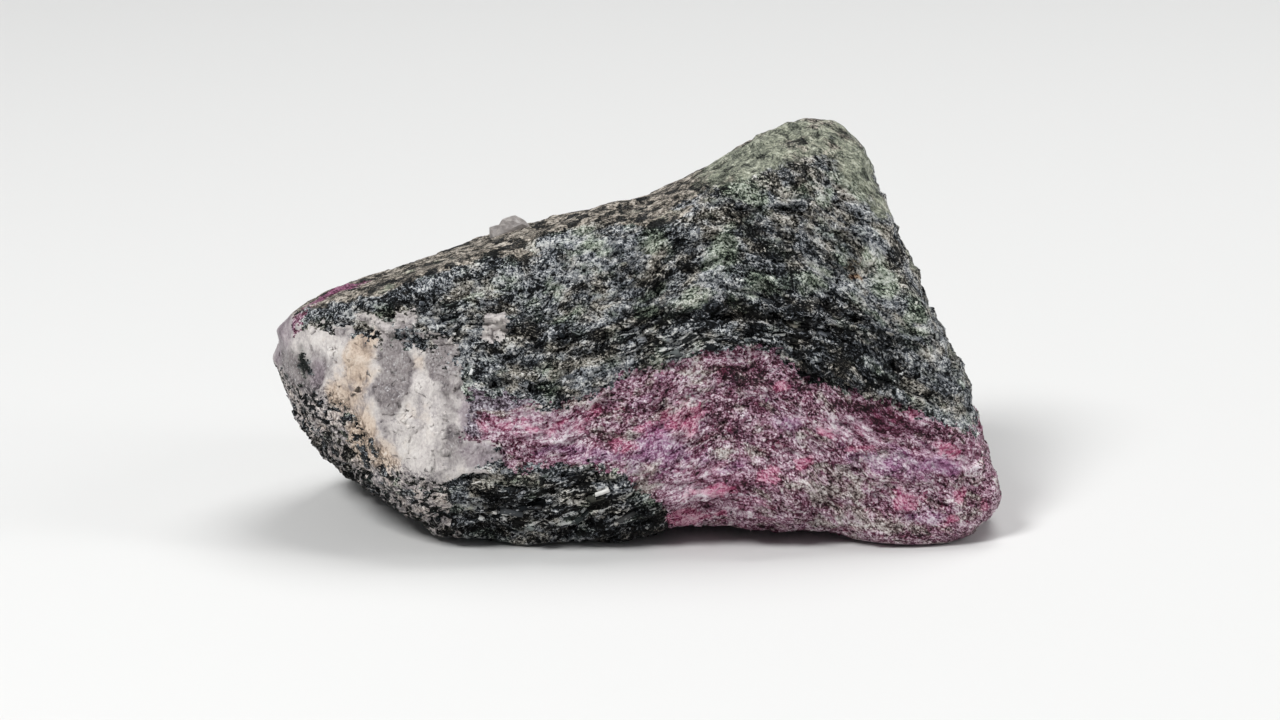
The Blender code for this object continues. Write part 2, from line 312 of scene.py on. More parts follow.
        ((-20.3, -15.7, 17.8), (0.9, 4, 0.9), 0.5),
        ((-19.8, -16.8, 14.0), (0.9, 4, 1.4), 0.3),
    ),
    "quartz": (
        ((-22.5, -15.5, 17.0), (1.7, 4, 2.9), 1.0),
        ((-22.6, -16.0, 14.6), (1.0, 4, 1.2), 0.8),
        ((-32.2, -8.9, 15.8), (2.0, 6, 2.2), 1.0),
        ((-30.7, -11.3, 14.9), (1.4, 4, 0.9), 1.0),
        ((-33.8, -5.0, 17.2), (1.1, 6, 2.2), 0.9),
        ((-27.9, -11.6, 20.4), (0.9, 4, 0.5), 0.8),
        ((-16.9, -16.6, 16.0), (1.3, 4, 3.0), 0.4),
        ((-16.4, -17.8, 11.6), (1.6, 4, 2.6), 0.6),
        ((-16.6, -18.2, 11.2), (1.4, 4, 1.4), 0.6),
        ((-15.2, -17.6, 11.4), (1.6, 4, 1.6), 0.7),
        ((-13.4, -18.1, 10.3), (1.6, 4, 1.3), 0.9),
        ((-18.0, -15.5, 18.2), (1.5, 4, 1.9), 0.9),
        ((-29.4, -11.9, 17.1), (1.5, 4, 1.7), 0.9),
    ),
    "white": (
        ((-29.3, -10.9, 18.4), (1.8, 4, 1.7), 1.0),
        ((-19.4, -16.6, 14.6), (0.7, 4, 3.8), 1.0),
        ((-20.4, -18.2, 9.4), (1.5, 4, 2.0), 0.9),
        ((-21.4, -17.0, 13.8), (0.7, 4, 0.6), 0.8),
    ),
    "feldspar": (
        ((-21.2, -14.1, 22.2), (1.3, 3, 0.9), 1.0),
        ((-13.1, -14.0, 21.3), (1.4, 3, 1.3), 1.0),
        ((-25.2, -13.2, 22.1), (0.8, 3, 0.6), 0.9),
        ((-17.3, -15.0, 19.8), (1.0, 3, 0.8), 0.9),
        ((-23.3, -14.2, 21.3), (1.4, 3, 0.9), 1.0),
    ),
    "flaky": (
        ((-7.5, -17.5, 4.8), (8.5, 5, 3.0), 1.0),
        ((3.0, -15.2, 20.2), (6.5, 3, 1.6), 1.0),
        ((14.0, -14.0, 20.8), (8.0, 3, 1.6), 0.6),
    ),
    "black": (
        ((-31.2, -10.4, 16.7), (0.9, 3, 1.25), 1.2),
    ),
    "mottle": (
        ((-21.6, -14.3, 20.7), (2.8, 4, 1.5), 1.0),
        ((-17.4, -14.5, 19.9), (2.4, 4, 1.3), 1.0),
        ((-24.8, -13.2, 21.8), (2.6, 4, 0.8), 0.9),
        ((-28.2, -11.4, 21.4), (2.0, 4, 0.6), 0.8),
        ((-15.0, -14.6, 19.6), (1.5, 4, 0.9), 0.9),
        ((-12.6, -17.6, 9.8), (2.6, 4, 1.2), 0.4),
        ((-18.0, -15.5, 18.2), (1.8, 4, 1.9), 0.9),
        ((-22.6, -17.3, 11.6), (1.1, 4, 2.2), 0.5),
    ),
}

# Bands, cracks and ridges, by kind: each runs along a line of points, with a reach and a strength.
STREAKS = {
    "magenta": (
        (((-26.6, -6.2, 22.8), (-27.8, -5.2, 22.4), (-28.7, -5.8, 22.1), (-29.6, -6.8, 21.6)), 1.5, 1.0),
        (((-29.6, -6.8, 21.6), (-30.6, -7.8, 21.0), (-31.6, -8.3, 20.0)), 1.0, 0.62),
    ),
    "pink": (
        (((-14.4, -17.2, 12.9), (-9.9, -17.1, 12.6), (-7.1, -16.8, 12.4), (-4.3, -16.9, 12.7),
          (-3.4, -16.4, 14.0)), 0.7, 0.4),
    ),
    "maroon": (
        (((-14.0, -16.9, 13.2), (-9.0, -16.9, 13.0), (-5.4, -16.7, 13.0)), 0.2, 0.6),
        (((-12.4, -17.6, 11.9), (-9.0, -17.6, 10.8), (-6.0, -17.4, 10.6), (-2.6, -17.2, 11.6)), 0.25, 0.5),
    ),
    "soft": (
        (((-31.6, -10.1, 15.6), (-29.6, -12.4, 14.7), (-27.2, -14.1, 13.3), (-24.3, -16.6, 11.1),
          (-21.9, -17.7, 8.6), (-20.5, -18.1, 7.4), (-19.1, -18.2, 6.6)), 1.7, 1.0),
    ),
    "crack": (
        (((-34.6, -4.3, 15.4), (-34.0, -4.2, 13.4), (-33.0, -5.9, 12.9), (-32.0, -7.6, 12.5)), 0.3, 0.6),
        (((14.6, -8.8, 33.6), (15.8, -9.0, 33.1), (17.6, -9.2, 32.6), (18.4, -9.8, 31.2)), 0.22, 0.35),
        (((13.3, -14.2, 18.9), (15.0, -14.2, 17.0), (17.4, -14.3, 15.6), (21, -14.0, 14.9)), 0.5, 0.7),
        (((3.0, -14.9, 22.4), (8.5, -14.4, 22.6), (14, -13.8, 21.4), (19, -12.9, 20.6)), 0.45, 0.6),
        (((3.6, -15.3, 19.9), (7.5, -14.9, 20.4), (12, -14.2, 20.4)), 0.3, 0.5),
        (((-15.8, -16.0, 16.6), (-12.0, -16.2, 16.6), (-9.0, -16.3, 15.6), (-6.4, -16.2, 15.4)), 0.3, 0.5),
        (((-16.6, -18.4, 6.8), (-12.6, -18.5, 6.2), (-8.6, -18.3, 6.6), (-4.6, -18.1, 5.8)), 0.3, 0.5),
        (((-11.0, -17.9, 3.4), (-6.6, -17.6, 3.0), (-2.0, -17.4, 3.8)), 0.35, 0.5),
    ),
    "ridge": (
        (((-18.9, -15.2, 19.0), (-18.3, -15.9, 16.8), (-18.5, -17.0, 14.0), (-18.6, -17.9, 11.2),
          (-19.8, -18.4, 8.4)), 0.8, 0.4),
    ),
}
TINTS = (*SPOTS, "magenta")

# Large cleaved plates that stand out on the broken front: X and Z, length, width and thickness, the slope of
# their long side in degrees, and their shade from 0 for black to 1 for white.
Plate = namedtuple("Plate", "x z size slope shade")
# The plates of shade 1.1 low on the black foot, and the small white one at X 5.2 in the ruby, are painted
# glints.
PLATES = (
    Plate(5.1, 20.6, (1.4, 1.1, 0.5), 24, 0.50),
    Plate(3.3, 19.1, (1.3, 0.7, 0.4), 12, 0.6),
    Plate(0.6, 20.2, (0.9, 0.5, 0.35), 20, 1.0),
    Plate(-0.8, 21.3, (2.0, 0.8, 0.4), 12, 0.35),
    Plate(6.1, 19.8, (1.3, 0.6, 0.4), 28, 0.45),
    Plate(-7.8, 5.1, (1.7, 0.7, 0.3), 8, 1.1),
    Plate(-4.0, 7.8, (0.9, 0.4, 0.3), -25, 1.1),
    Plate(-14.6, 3.5, (0.9, 0.5, 0.3), -20, 1.1),
    Plate(-9.9, 5.0, (2.8, 0.9, 0.4), 3, 0.05),
    Plate(-5.7, 7.3, (1.5, 0.5, 0.35), -42, 0.0),
    Plate(-11.6, 4.2, (1.8, 0.6, 0.35), -6, 0.25),
    Plate(-15.6, 4.6, (1.1, 0.7, 0.3), -12, 0.7),
    Plate(-10.4, 16.1, (0.9, 0.5, 0.3), -15, 0.85),
    Plate(-6.1, 15.4, (0.9, 0.4, 0.3), 5, 0.95),
    Plate(5.2, 15.3, (0.4, 0.4, 0.3), 0, 1.0),
)

# The splinter on the top: its outline along and up from its foot, its crease, its place, how thick it is at
# the crease and at the rim, and its turn. The solid's own splinter is inside the reach, and bare top is
# between that and the ring.
SPLINTER_OUTLINE = ((-2.0, -1.9), (-2.1, 0.3), (-1.2, 0.6), (-0.8, 1.2), (0.4, 1.6), (2.0, 0.6), (1.7, -1.9))
SPLINTER_CREASE = ((-1.5, -0.6), (1.3, 1.0))
SPLINTER_PLACE = (-12.2, 6.0)
SPLINTER_THICKNESS = 1.3
SPLINTER_RIM = 0.32
SPLINTER_TURN = math.radians(-14)
SPLINTER_REACH = (2.6, 1.1)
SPLINTER_RING = (3.6, 2.2)


def smooth(share):
    """A ramp from 0 to 1 with no kink at its ends, for numbers or arrays."""
    share = np.clip(share, 0.0, 1.0)
    return share * share * (3 - 2 * share)


def along(edge, x):
    """The height at x of an edge given by points."""
    return np.interp(x, [point[0] for point in edge], [point[1] for point in edge])


def noise_at(places, per_mm, shift=0.0):
    """Smooth noise from -1 to 1 at each place. per_mm is one number, or one for each axis."""
    return np.array([noise.noise(place) for place in (places * per_mm + shift).tolist()])


def vectors_at(places, per_mm, shift=0.0):
    """Smooth noise at each place, with its own values along X, Y and Z. The seed makes every run alike."""
    noise.seed_set(NOISE_SEED)
    return np.array([noise.noise_vector(place)[:] for place in (places * per_mm + shift).tolist()])


def scatter(cells, salt):
    """A number from 0 to 1 for each cell's own place."""
    mixed = np.sin(cells @ np.array([12.9898, 78.233, 37.719]) + salt) * 43758.5453
    return mixed - np.floor(mixed)


def cells_at(places, per_mm, shift=0.0):
    """Each place in a field of irregular cells, and the middle of its cell, both in cell widths."""
    scaled = places * per_mm + shift
    return scaled, np.array([noise.voronoi(place)[1][0][:] for place in scaled.tolist()])


def facets(places, per_mm, shift=0.0):
    """Flat tilted facets, one to a cell, from about -1 to 1."""
    scaled, middles = cells_at(places, per_mm, shift)
    tilt = np.stack([scatter(middles, salt) - 0.5 for salt in (1.0, 2.0, 3.0)], 1)
    return 1.6 * ((scaled - middles) * tilt).sum(1) + 0.9 * (scatter(middles, 4.0) - 0.5)


def distance_to(points, places):
    """How far each place is from a line of points."""
    nearest = np.full(len(places), np.inf)
    for start, end in zip(points, points[1:]):
        start, step = np.array(start, float), np.subtract(end, start).astype(float)
        share = np.clip((places - start) @ step / (step @ step), 0, 1)
        nearest = np.minimum(nearest, np.linalg.norm(places - start - share[:, None] * step, axis=1))
    return nearest


def arch_at(x):
    """How high the rock's layers rise in their arch."""
    return ARCH_RISE * np.exp(-(((x - ARCH_MIDDLE) / ARCH_WIDTH) ** 2))


def layered(places):
    """The places with the rock's layers laid level: they arch over the ruby and dip to the right."""
    x, y, z = places.T
    arch = arch_at(x) - DIP * np.maximum(0, x - DIP_START)
    sway = 0.9 * noise_at(places, 0.13, 4.0) + 0.35 * noise_at(places, 0.4, 9.0)
    return np.stack([x + 0.4 * noise_at(places, 0.3, 17.0), y, z - arch + 0.1 * y + sway], 1)


def zones_at(places, normals):
    """Every zone and tint of the stone at each place: a depth in millimetres for the ruby and the pod, and a
    strength from 0 to 1 for the rest."""
    x, y, z = places.T
    front = -15
    depth = y - front
    wander = 0.8 * noise_at(places, 0.22, 31.0) + 0.4 * noise_at(places, 0.6, 7.0)
    bent = places + 0.7 * vectors_at(places, 0.45, 3.0) + 0.35 * vectors_at(places, 1.4, 8.0)
    side = 0.8 * noise_at(places, 0.25, 51.0)
    over = along(RUBY_TOP, x) + 0.12 * depth + 0.4 * wander - z
    under = z - along(RUBY_FOOT, x) + 0.05 * depth + 0.4 * wander
    # The ruby layer thins out to the back, most of all towards the nose.
    taper = 0.2 * np.maximum(0, depth - 6) * smooth((4 - x) / 14)
    ruby = np.minimum(np.minimum(over, under) - taper, x - RUBY_LEFT - 0.1 * depth + side)
    pod = np.minimum(along(POD_TOP, x) - z - 0.08 * depth, along(POD_RIGHT, z) - x - 0.25 * depth)
    pod = np.minimum(pod + 0.5 * wander, z - along(POD_FOOT, x) - 0.1 * depth + 0.6 * wander)
    cut = np.minimum(along(CUT_RIGHT, z) - x - 0.3 * depth + side, along(POD_FOOT, x) - z + 1.6)
    zones = {kind: np.zeros(len(places)) for kind in TINTS}
    for kind, spots in SPOTS.items():
        for middle, reach, strength in spots:
            away = np.linalg.norm((bent - middle) / reach, axis=1) + 0.2 * wander
            zones[kind] = np.maximum(zones[kind], strength * smooth(1.5 - away))
    for kind in ("magenta", "pink", "maroon"):
        for points, reach, strength in STREAKS[kind]:
            away = distance_to(points, bent) / reach + 0.2 * wander
            zones[kind] = np.maximum(zones[kind], strength * smooth(1.6 - away))
    speckled = smooth(cut / 1.2 + 0.5)
    zones["mottle"] = np.maximum(zones["mottle"], speckled)
    zones["speckled"] = speckled
    # The skin is worn where it faces up and a little back.
    upward = normals @ np.array([0.0, 0.33, 0.944])
    zones["weathered"] = np.maximum(smooth((upward - 0.47 + 0.10 * wander) / 0.30), zones["skin"])
    zones["ruby"] = ruby
    # In the speckled cut pale grains are scattered below the pod, fewer of them further down.
    scattered = np.maximum(-0.6, 0.65 - 0.22 * np.maximum(0, along(POD_FOOT, x) - z)) + 0.3 * wander
    zones["pod"] = np.where(pod < 0, np.maximum(pod, scattered * speckled - 1.55 * (1 - speckled)), pod)
    return zones


def minerals_of(zones, layers):
    """The mineral at each place. Whole grains along the borders belong to one side or the other."""
    _, coarse = cells_at(layers, (1.5, 1.6, 1.9), 5.0)
    _, fine = cells_at(layers, (2.8, 2.8, 3.4), 2.0)
    fine_share = 0.3
    ragged = (1 - fine_share) * scatter(coarse, 6.0) + fine_share * scatter(fine, 7.0) - 0.5
    found = np.full(len(layers), HOST)
    found[zones["pod"] + (1.3 + 2.2 * zones["mottle"]) * ragged > 0] = POD
    found[(zones["ruby"] + 1.3 * ragged > 0) & (zones["ruby"] > -1.0)] = RUBY
    found[zones["magenta"] + 0.7 * ragged > 0.5] = RUBY
    found[zones["feldspar"] + 0.7 * ragged > 0.5] = POD
    found[zones["black"] + 0.5 * ragged > 0.45] = HOST
    return found


def lens_at(layers):
    """A number from 0 to 1 for each flat lens in the worn skin. The higher ones are black hollows."""
    _, middles = cells_at(layers, (0.85, 0.65, 1.7), 41.0)
    return 0.8 * scatter(middles, 8.0) + 0.2 * (0.5 + noise_at(layers, 1.5, 3.0))


def relief_at(places, zones, layers):
    """How far the surface stands out from the solid in millimetres, and the part of that in small chips."""
    ruby = smooth(zones["ruby"] / 0.5 + 0.5)
    pod = smooth(zones["pod"] / 0.6 + 0.5) * (1 - ruby)
    host = 1 - ruby - pod
    speckled = zones["speckled"] * (1 - ruby)
    worn = zones["weathered"]

    # Ledges follow the layers, each with a long slope and a short steep side.
    step = layers[:, 2] / 1.9 + 0.5 * noise_at(layers, (0.12, 0.12, 0.3), 2.0)
    step = step - np.floor(step)
    ledge = np.where(step < 0.8, smooth(step / 0.8), smooth((1 - step) / 0.2)) - 0.5
    patchy = smooth(0.55 + 1.3 * noise_at(places, 0.16, 5.0))
    swells = noise_at(layers, (0.17, 0.2, 0.3), 33.0)
    lumps = noise_at(layers, (0.5, 0.5, 0.85), 35.0)
    blocks = facets(layers, (0.42, 0.5, 0.85), 3.0)
    furrows = noise_at(layers, (0.22, 0.3, 0.95), 12.0)
    furrows = smooth((0.22 - np.abs(furrows)) / 0.22) * smooth(zones["dark"] + 0.4)
    strands = facets(layers, (0.30, 0.4, 0.95), 21.0)
    cleaved = facets(places, 0.34, 14.0)
    chips = facets(layers, (1.1, 1.2, 1.9), 8.0)
    grit = facets(layers, (2.6, 2.7, 3.6), 6.0)

    broad = host * (0.60 * ledge * patchy + 0.55 * swells + 0.40 * lumps + 0.55 * blocks - 0.7 * furrows)
    broad += ruby * (0.55 * swells + 0.40 * lumps + 0.45 * strands - 0.3)
    broad += pod * (0.30 * swells + 0.15 * lumps + 0.24 * cleaved)
    broad += speckled * 0.35 * facets(places, 0.7, 11.0)
    # The worn skin is smoother than fresh rock.
    small = (host + 0.85 * ruby + 0.08 * pod) * (0.24 * chips + 0.10 * grit)
    small *= 1 - 0.8 * worn
    height = broad * (1 - 0.7 * worn) + small
    hollows = smooth(6 * (zones["lens"] - 0.5))
    height += worn * (0.10 * noise_at(layers, (0.5, 0.8, 1.2), 15.0) - 0.16 * hollows)
    for kind, sign in (("crack", -1), ("ridge", 1)):
        for points, reach, strength in STREAKS[kind]:
            height += sign * strength * smooth(1.5 - distance_to(points, places) / reach)
    return height, small


def cad_copy(name):
    """A welded copy of the stone's solid, as a new mesh."""
    bm = bmesh.new()
    bm.from_mesh(frame["nodes"][NODE].data)
    bmesh.ops.remove_doubles(bm, verts=bm.verts, dist=MICRON)
    mesh = bpy.data.meshes.new(name)
    bm.to_mesh(mesh)
    bm.free()
    return mesh


def numbers(items, field, width=3):
    """One field of all the points or values of a mesh, as rows of numbers."""
    found = np.empty(len(items) * width, np.float32)
    items.foreach_get(field, found)
    return found.reshape(-1, width).astype(float)


def point_numbers(items, field, width):
    """Which points each corner, edge or triangle of a mesh has, as rows."""
    found = np.empty(len(items) * width, np.int32)
    items.foreach_get(field, found)
    return found.reshape(-1, width)


def add_object(name, data):
    """A new object in the scene, made of a mesh, a lamp or a camera."""
    made = bpy.data.objects.new(name, data)
    bpy.context.scene.collection.objects.link(made)
    return made


def keep_in_box(places):
    """Places in metres, held inside the solid's own box."""
    low, high = (np.array(corner) for corner in CAD_BOX)
    return np.clip(places, low + MICRON, high - MICRON)


def spread(values, edges, rounds):
    """Values averaged with their neighbours' along a mesh's edges, several times."""
    near = np.bincount(edges.ravel(), minlength=len(values))[:, None] + 1.0
    for _ in range(rounds):
        total = values.copy()
        for axis in range(values.shape[1]):
            for here, there in ((0, 1), (1, 0)):
                total[:, axis] += np.bincount(edges[:, here], values[edges[:, there], axis], len(values))
        values = total / near
    return values


def along_splinter(places):
    """Places seen along, across and up from the splinter's foot."""
    x, y = places[:, 0] - SPLINTER_PLACE[0], places[:, 1] - SPLINTER_PLACE[1]
    turned, leaned = math.cos(SPLINTER_TURN), math.sin(SPLINTER_TURN)
    return np.stack([x * turned + y * leaned, y * turned - x * leaned, places[:, 2]], 1)


def ground_under_splinter(places, normals):
    """The plane of the top around the splinter: its height at the foot, and its slopes along and across."""
    near = along_splinter(places)
    off = np.abs(near[:, :2])
    ring = (off < SPLINTER_RING).all(1) & ~(off < SPLINTER_REACH).all(1) & (normals[:, 2] > 0.3)
    terms = np.column_stack([np.ones(ring.sum()), near[ring, :2]])
    return np.linalg.lstsq(terms, near[ring, 2], rcond=None)[0]


def without_splinter(places, normals):
    """Lays the solid's splinter down onto the top, to be made again as a piece of its own."""
    plane = ground_under_splinter(places, normals)
    near = along_splinter(places)
    level = plane[0] + near[:, :2] @ plane[1:]
    above = (np.abs(near[:, :2]) < SPLINTER_REACH).all(1) & (places[:, 2] > level)
    places[above, 2] = level[above]
    normals[above] = (0.0, 0.0, 1.0)


def soften_creases(places, edges):
    """Rounds the solid's creases along the soft streaks."""
    rounded = spread(places, edges, rounds=120)
    for points, reach, strength in STREAKS["soft"]:
        share = strength * smooth(1.6 - distance_to(points, places) / reach)
        places += share[:, None] * (rounded - places)


def solid_surface(settings):
    """The solid in small even squares with worn edges: places in millimetres, normals, squares and edges."""
    mesh = cad_copy("solid_surface")
    solid = add_object("solid_surface", mesh)
    remesh = solid.modifiers.new("even squares", "REMESH")
    remesh.mode = "VOXEL"
    remesh.voxel_size = settings.cell_size
    worn = solid.modifiers.new("worn edges", "SMOOTH")
    worn.factor = 0.5
    worn.iterations = settings.wear
    even = solid.evaluated_get(bpy.context.evaluated_depsgraph_get()).to_mesh()
    places, normals = numbers(even.vertices, "co") / MM, numbers(even.vertices, "normal")
    squares = point_numbers(even.loops, "vertex_index", 1).reshape(-1, 4)
    edges = point_numbers(even.edges, "vertices", 2)
    solid.to_mesh_clear()
    bpy.data.objects.remove(solid)
    bpy.data.meshes.remove(mesh)
    return places, normals, squares, edges


def new_mesh(name, places, squares, material):
    """A mesh of four-sided faces, at places in millimetres."""
    mesh = bpy.data.meshes.new(name)
    mesh.vertices.add(len(places))
    mesh.vertices.foreach_set("co", keep_in_box(places * MM).astype(np.float32).ravel())
    mesh.loops.add(squares.size)
    mesh.loops.foreach_set("vertex_index", squares.astype(np.int32).ravel())
    mesh.polygons.add(len(squares))
    mesh.polygons.foreach_set("loop_start", np.arange(0, squares.size, 4, dtype=np.int32))
    mesh.update(calc_edges=True)
    mesh.materials.append(material)
    return add_object(name, mesh)


def store(mesh, values, vectors):
    """Stores named numbers and vectors on a mesh's points, for its material and for the grains set on it."""
    for kind, found in values.items():
        mesh.attributes.new(kind, "FLOAT", "POINT").data.foreach_set("value", found.astype(np.float32))
    for kind, found in vectors.items():
        made = mesh.attributes.new(kind, "FLOAT_VECTOR", "POINT")
        made.data.foreach_set("vector", found.astype(np.float32).ravel())


def packed(sizes, width):
    """Corners for boxes laid in rows no wider than width, and the size of the square that holds them all."""
    corners, across, up, tall, widest = {}, 0.0, 0.0, 0.0, 0.0
    for side, (wide, high) in sizes:
        if across and across + wide > width:
            across, up, tall = 0.0, up + tall, 0.0
        corners[side] = np.array([across, up])
        across, tall = across + wide, max(tall, high)
        widest = max(widest, across)
    return corners, max(widest, up + tall)


def lay_out_sides(mesh, places, squares, facing):
    """A texture map with each of the six sides seen square on, all at one scale and packed in rows."""
    gap = 0.6
    main = np.argmax(np.abs(facing), axis=1)
    side = 2 * main + (np.take_along_axis(facing, main[:, None], 1)[:, 0] > 0)
    seen, sizes = {}, []
    for at in np.unique(side):
        axes = [axis for axis in range(3) if axis != at // 2]
        flat = places[squares[side == at]][:, :, axes]
        seen[at] = flat - flat.min((0, 1)) + gap / 2
        sizes.append((at, seen[at].max((0, 1)) + gap / 2))
    sizes.sort(key=lambda entry: -entry[1][1])
    widths = [share * sum(size[0] for _, size in sizes) for share in (0.2, 0.3, 0.4, 0.5, 0.7, 1.0)]
    corners, span = min((packed(sizes, width) for width in widths), key=lambda found: found[1])
    laid = np.empty((len(squares), 4, 2))
    for at, flat in seen.items():
        laid[side == at] = (flat + corners[at]) / span
    mesh.uv_layers.new(name="OFBake").uv.foreach_set("vector", laid.astype(np.float32).ravel())


def make_surface(settings):
    """The whole broken surface: small squares over the solid, moved out and in by its relief. Each mineral is
    a piece, and so is the worn skin."""
    places, normals, squares, edges = solid_surface(settings)
    without_splinter(places, normals)
    soften_creases(places, edges)
    layers = layered(places)
    zones = zones_at(places, normals)
    zones["lens"] = lens_at(layers)
    height, small = relief_at(places, zones, layers)
    mean = spread(normals, edges, rounds=90)
    # The relief is lower along sharp edges, and where the stone faces neither forward nor back. There is none
    # where it rests.
    edge = smooth((1 - np.linalg.norm(mean, axis=1)) / 0.08)
    flank = np.exp(-((mean[:, 1] / 0.35) ** 2))
    resting = smooth((places[:, 2] - 0.05) / 0.8)
    height = settings.relief * height * resting * (1 - 0.8 * edge) * (1 - 0.55 * flank)
    moved = places + normals * height[:, None]
    moved = keep_in_box(moved * MM) / MM
    minerals = minerals_of(zones, layers)[squares[:, 0]]
    worn = zones["weathered"][squares].mean(1) > 0.5
    facing = mean[squares].mean(1)

    values = {kind: zones[kind] for kind in TINTS + ("weathered", "speckled", "lens")}
    values["edge"] = edge
    # The small chips' relief, kept to paint shade into their hollows and light onto their crests.
    values["crest"] = small / small.std()
    values["tint"] = np.full(len(places), 0.5)
    vectors = {"layers": layered(moved), "out": mean / np.linalg.norm(mean, axis=1)[:, None]}
    host = host_material()
    parts = (
        ("dark_host", (minerals == HOST) & ~worn, host, False),
        ("weathered_skin", (minerals == HOST) & worn, host, True),
        ("ruby_layer", minerals == RUBY, ruby_material(), False),
        ("pale_pod", minerals == POD, pod_material(), True),
    )
    pieces = []
    for name, chosen, material, soft in parts:
        used, own = np.unique(squares[chosen], return_inverse=True)
        own = own.reshape(-1, 4)
        piece = new_mesh(name, moved[used], own, material)
        if soft:
            piece.data.shade_smooth()
        store(piece.data, {kind: found[used] for kind, found in values.items()},
              {kind: found[used] for kind, found in vectors.items()})
        lay_out_sides(piece.data, moved[used], own, facing[chosen])
        pieces.append(piece)
    return pieces


class Minerals:
    """Builds a material's nodes one at a time."""

    def __init__(self, name):
        self.material = bpy.data.materials.new(name)
        self.material.use_nodes = True
        self.tree = self.material.node_tree
        self.surface = self.tree.nodes["Principled BSDF"]

    def put(self, kind, inputs, **settings):
        """Adds a node. Each input is a value or another node's socket."""
        made = self.tree.nodes.new("ShaderNode" + kind)
        for setting, value in settings.items():
            setattr(made, setting, value)
        for socket, value in inputs.items():
            self.join(value, made.inputs[socket])
        return made

    def join(self, value, socket):
        """Links a node's socket to another, or sets that one's own value."""
        if isinstance(value, bpy.types.NodeSocket):
            self.tree.links.new(value, socket)
        else:
            socket.default_value = value

    def stored(self, name):
        """A number stored on the mesh's points, or 0 where there is none."""
        return self.put("Attribute", {}, attribute_name=name).outputs["Fac"]

    def layers(self):
        """The place in the rock's layers, in millimetres."""
        return self.put("Attribute", {}, attribute_name="layers").outputs["Vector"]

    def place(self):
        """The place in the stone, in millimetres."""
        place = self.put("TexCoord", {}).outputs["Object"]
        return self.put("VectorMath", {0: place, 3: 1 / MM}, operation="SCALE").outputs[0]

    def stretch(self, vector, per_mm, shift=0.0):
        """A vector scaled along each axis, and shifted along all of them."""
        inputs = {0: vector, 1: per_mm, 2: (shift, shift, shift)}
        return self.put("VectorMath", inputs, operation="MULTIPLY_ADD").outputs[0]

    def total(self, start, *pairs):
        """A start and several values, each times its weight, added up."""
        for value, weight in pairs:
            start = self.put("Math", {0: value, 1: weight, 2: start}, operation="MULTIPLY_ADD").outputs[0]
        return start

    def ramp(self, value, start, end, low=0.0, high=1.0):
        """A smooth step from low, where the value is at start, to high, where it is at end."""
        inputs = {"Value": value, "From Min": start, "From Max": end, "To Min": low, "To Max": high}
        return self.put("MapRange", inputs, interpolation_type="SMOOTHSTEP").outputs["Result"]

    def specks(self, fine_noise, colours, axis, ends, most, sign=1):
        """Scattered specks where the fine noise is high, or where it is low if sign is -1."""
        found = self.total(0.0, (fine_noise, 2.2 * sign), (self.part(colours, axis), 0.5))
        return self.ramp(found, *ends, 0, most)

    def cloud(self, vector, per_mm, detail=2.0, rough=0.55, shift=0.0):
        """Noise around 0."""
        vector = self.stretch(vector, per_mm, shift)
        inputs = {"Vector": vector, "Scale": 1.0, "Detail": detail, "Roughness": rough}
        return self.total(-0.5, (self.put("TexNoise", inputs).outputs["Fac"], 1.0))

    def strands(self, vector, per_mm, width, shift=0.0):
        """Thin winding lines: 1 along them, and 0 away from them."""
        winding = self.cloud(vector, per_mm, 2.0, 0.5, shift)
        winding = self.put("Math", {0: winding}, operation="ABSOLUTE").outputs[0]
        return self.ramp(winding, width, 0.0)

    def cells(self, vector, per_mm):
        """Random colours, one to an irregular cell."""
        return self.put("TexVoronoi", {"Vector": self.stretch(vector, per_mm), "Scale": 1.0}).outputs["Color"]

    def warped(self, vector, per_mm, by_mm):
        """A vector pushed about by noise."""
        inputs = {"Vector": vector, "Scale": per_mm, "Detail": 2.0}
        push = self.put("TexNoise", inputs).outputs["Color"]
        push = self.put("VectorMath", {0: push, 1: (0.5, 0.5, 0.5)}, operation="SUBTRACT").outputs[0]
        push = self.put("VectorMath", {0: push, 3: 2 * by_mm}, operation="SCALE").outputs[0]
        return self.put("VectorMath", {0: vector, 1: push}, operation="ADD").outputs[0]

    def part(self, colour, axis):
        """One part of a random colour, moved to lie around 0."""
        return self.total(-0.5, (self.put("SeparateXYZ", {0: colour}).outputs[axis], 1.0))

    def both(self, first, second):
        """One value times another."""
        return self.put("Math", {0: first, 1: second}, operation="MULTIPLY").outputs[0]

    def blend(self, share, first, second):
        """The first colour, turned into the second by a share from 0 to 1."""
        return self.put("Mix", {0: share, 6: first, 7: second}, data_type="RGBA").outputs[2]

    def scale_of(self, value, *stops):
        """A colour scale: stops are places from 0 to 1 with their colour codes."""
        made = self.put("ValToRGB", {"Fac": value})
        scale = made.color_ramp
        while len(scale.elements) < len(stops):
            scale.elements.new(0.5)
        for element, (position, code) in zip(scale.elements, stops):
            element.position = position
            element.color = colour_of(code)
        return made.outputs["Color"]

    def facing(self, turns):
        """A surface direction turned a little in each cell, for every pair of cell colours and strength."""
        found = self.put("NewGeometry", {}).outputs["Normal"]
        for colours, strength in turns:
            turn = self.put("VectorMath", {0: colours, 1: (0.5, 0.5, 0.5)}, operation="SUBTRACT").outputs[0]
            turn = self.put("VectorMath", {0: turn, 3: strength}, operation="SCALE").outputs[0]
            found = self.put("VectorMath", {0: found, 1: turn}, operation="ADD").outputs[0]
        return self.put("VectorMath", {0: found}, operation="NORMALIZE").outputs[0]

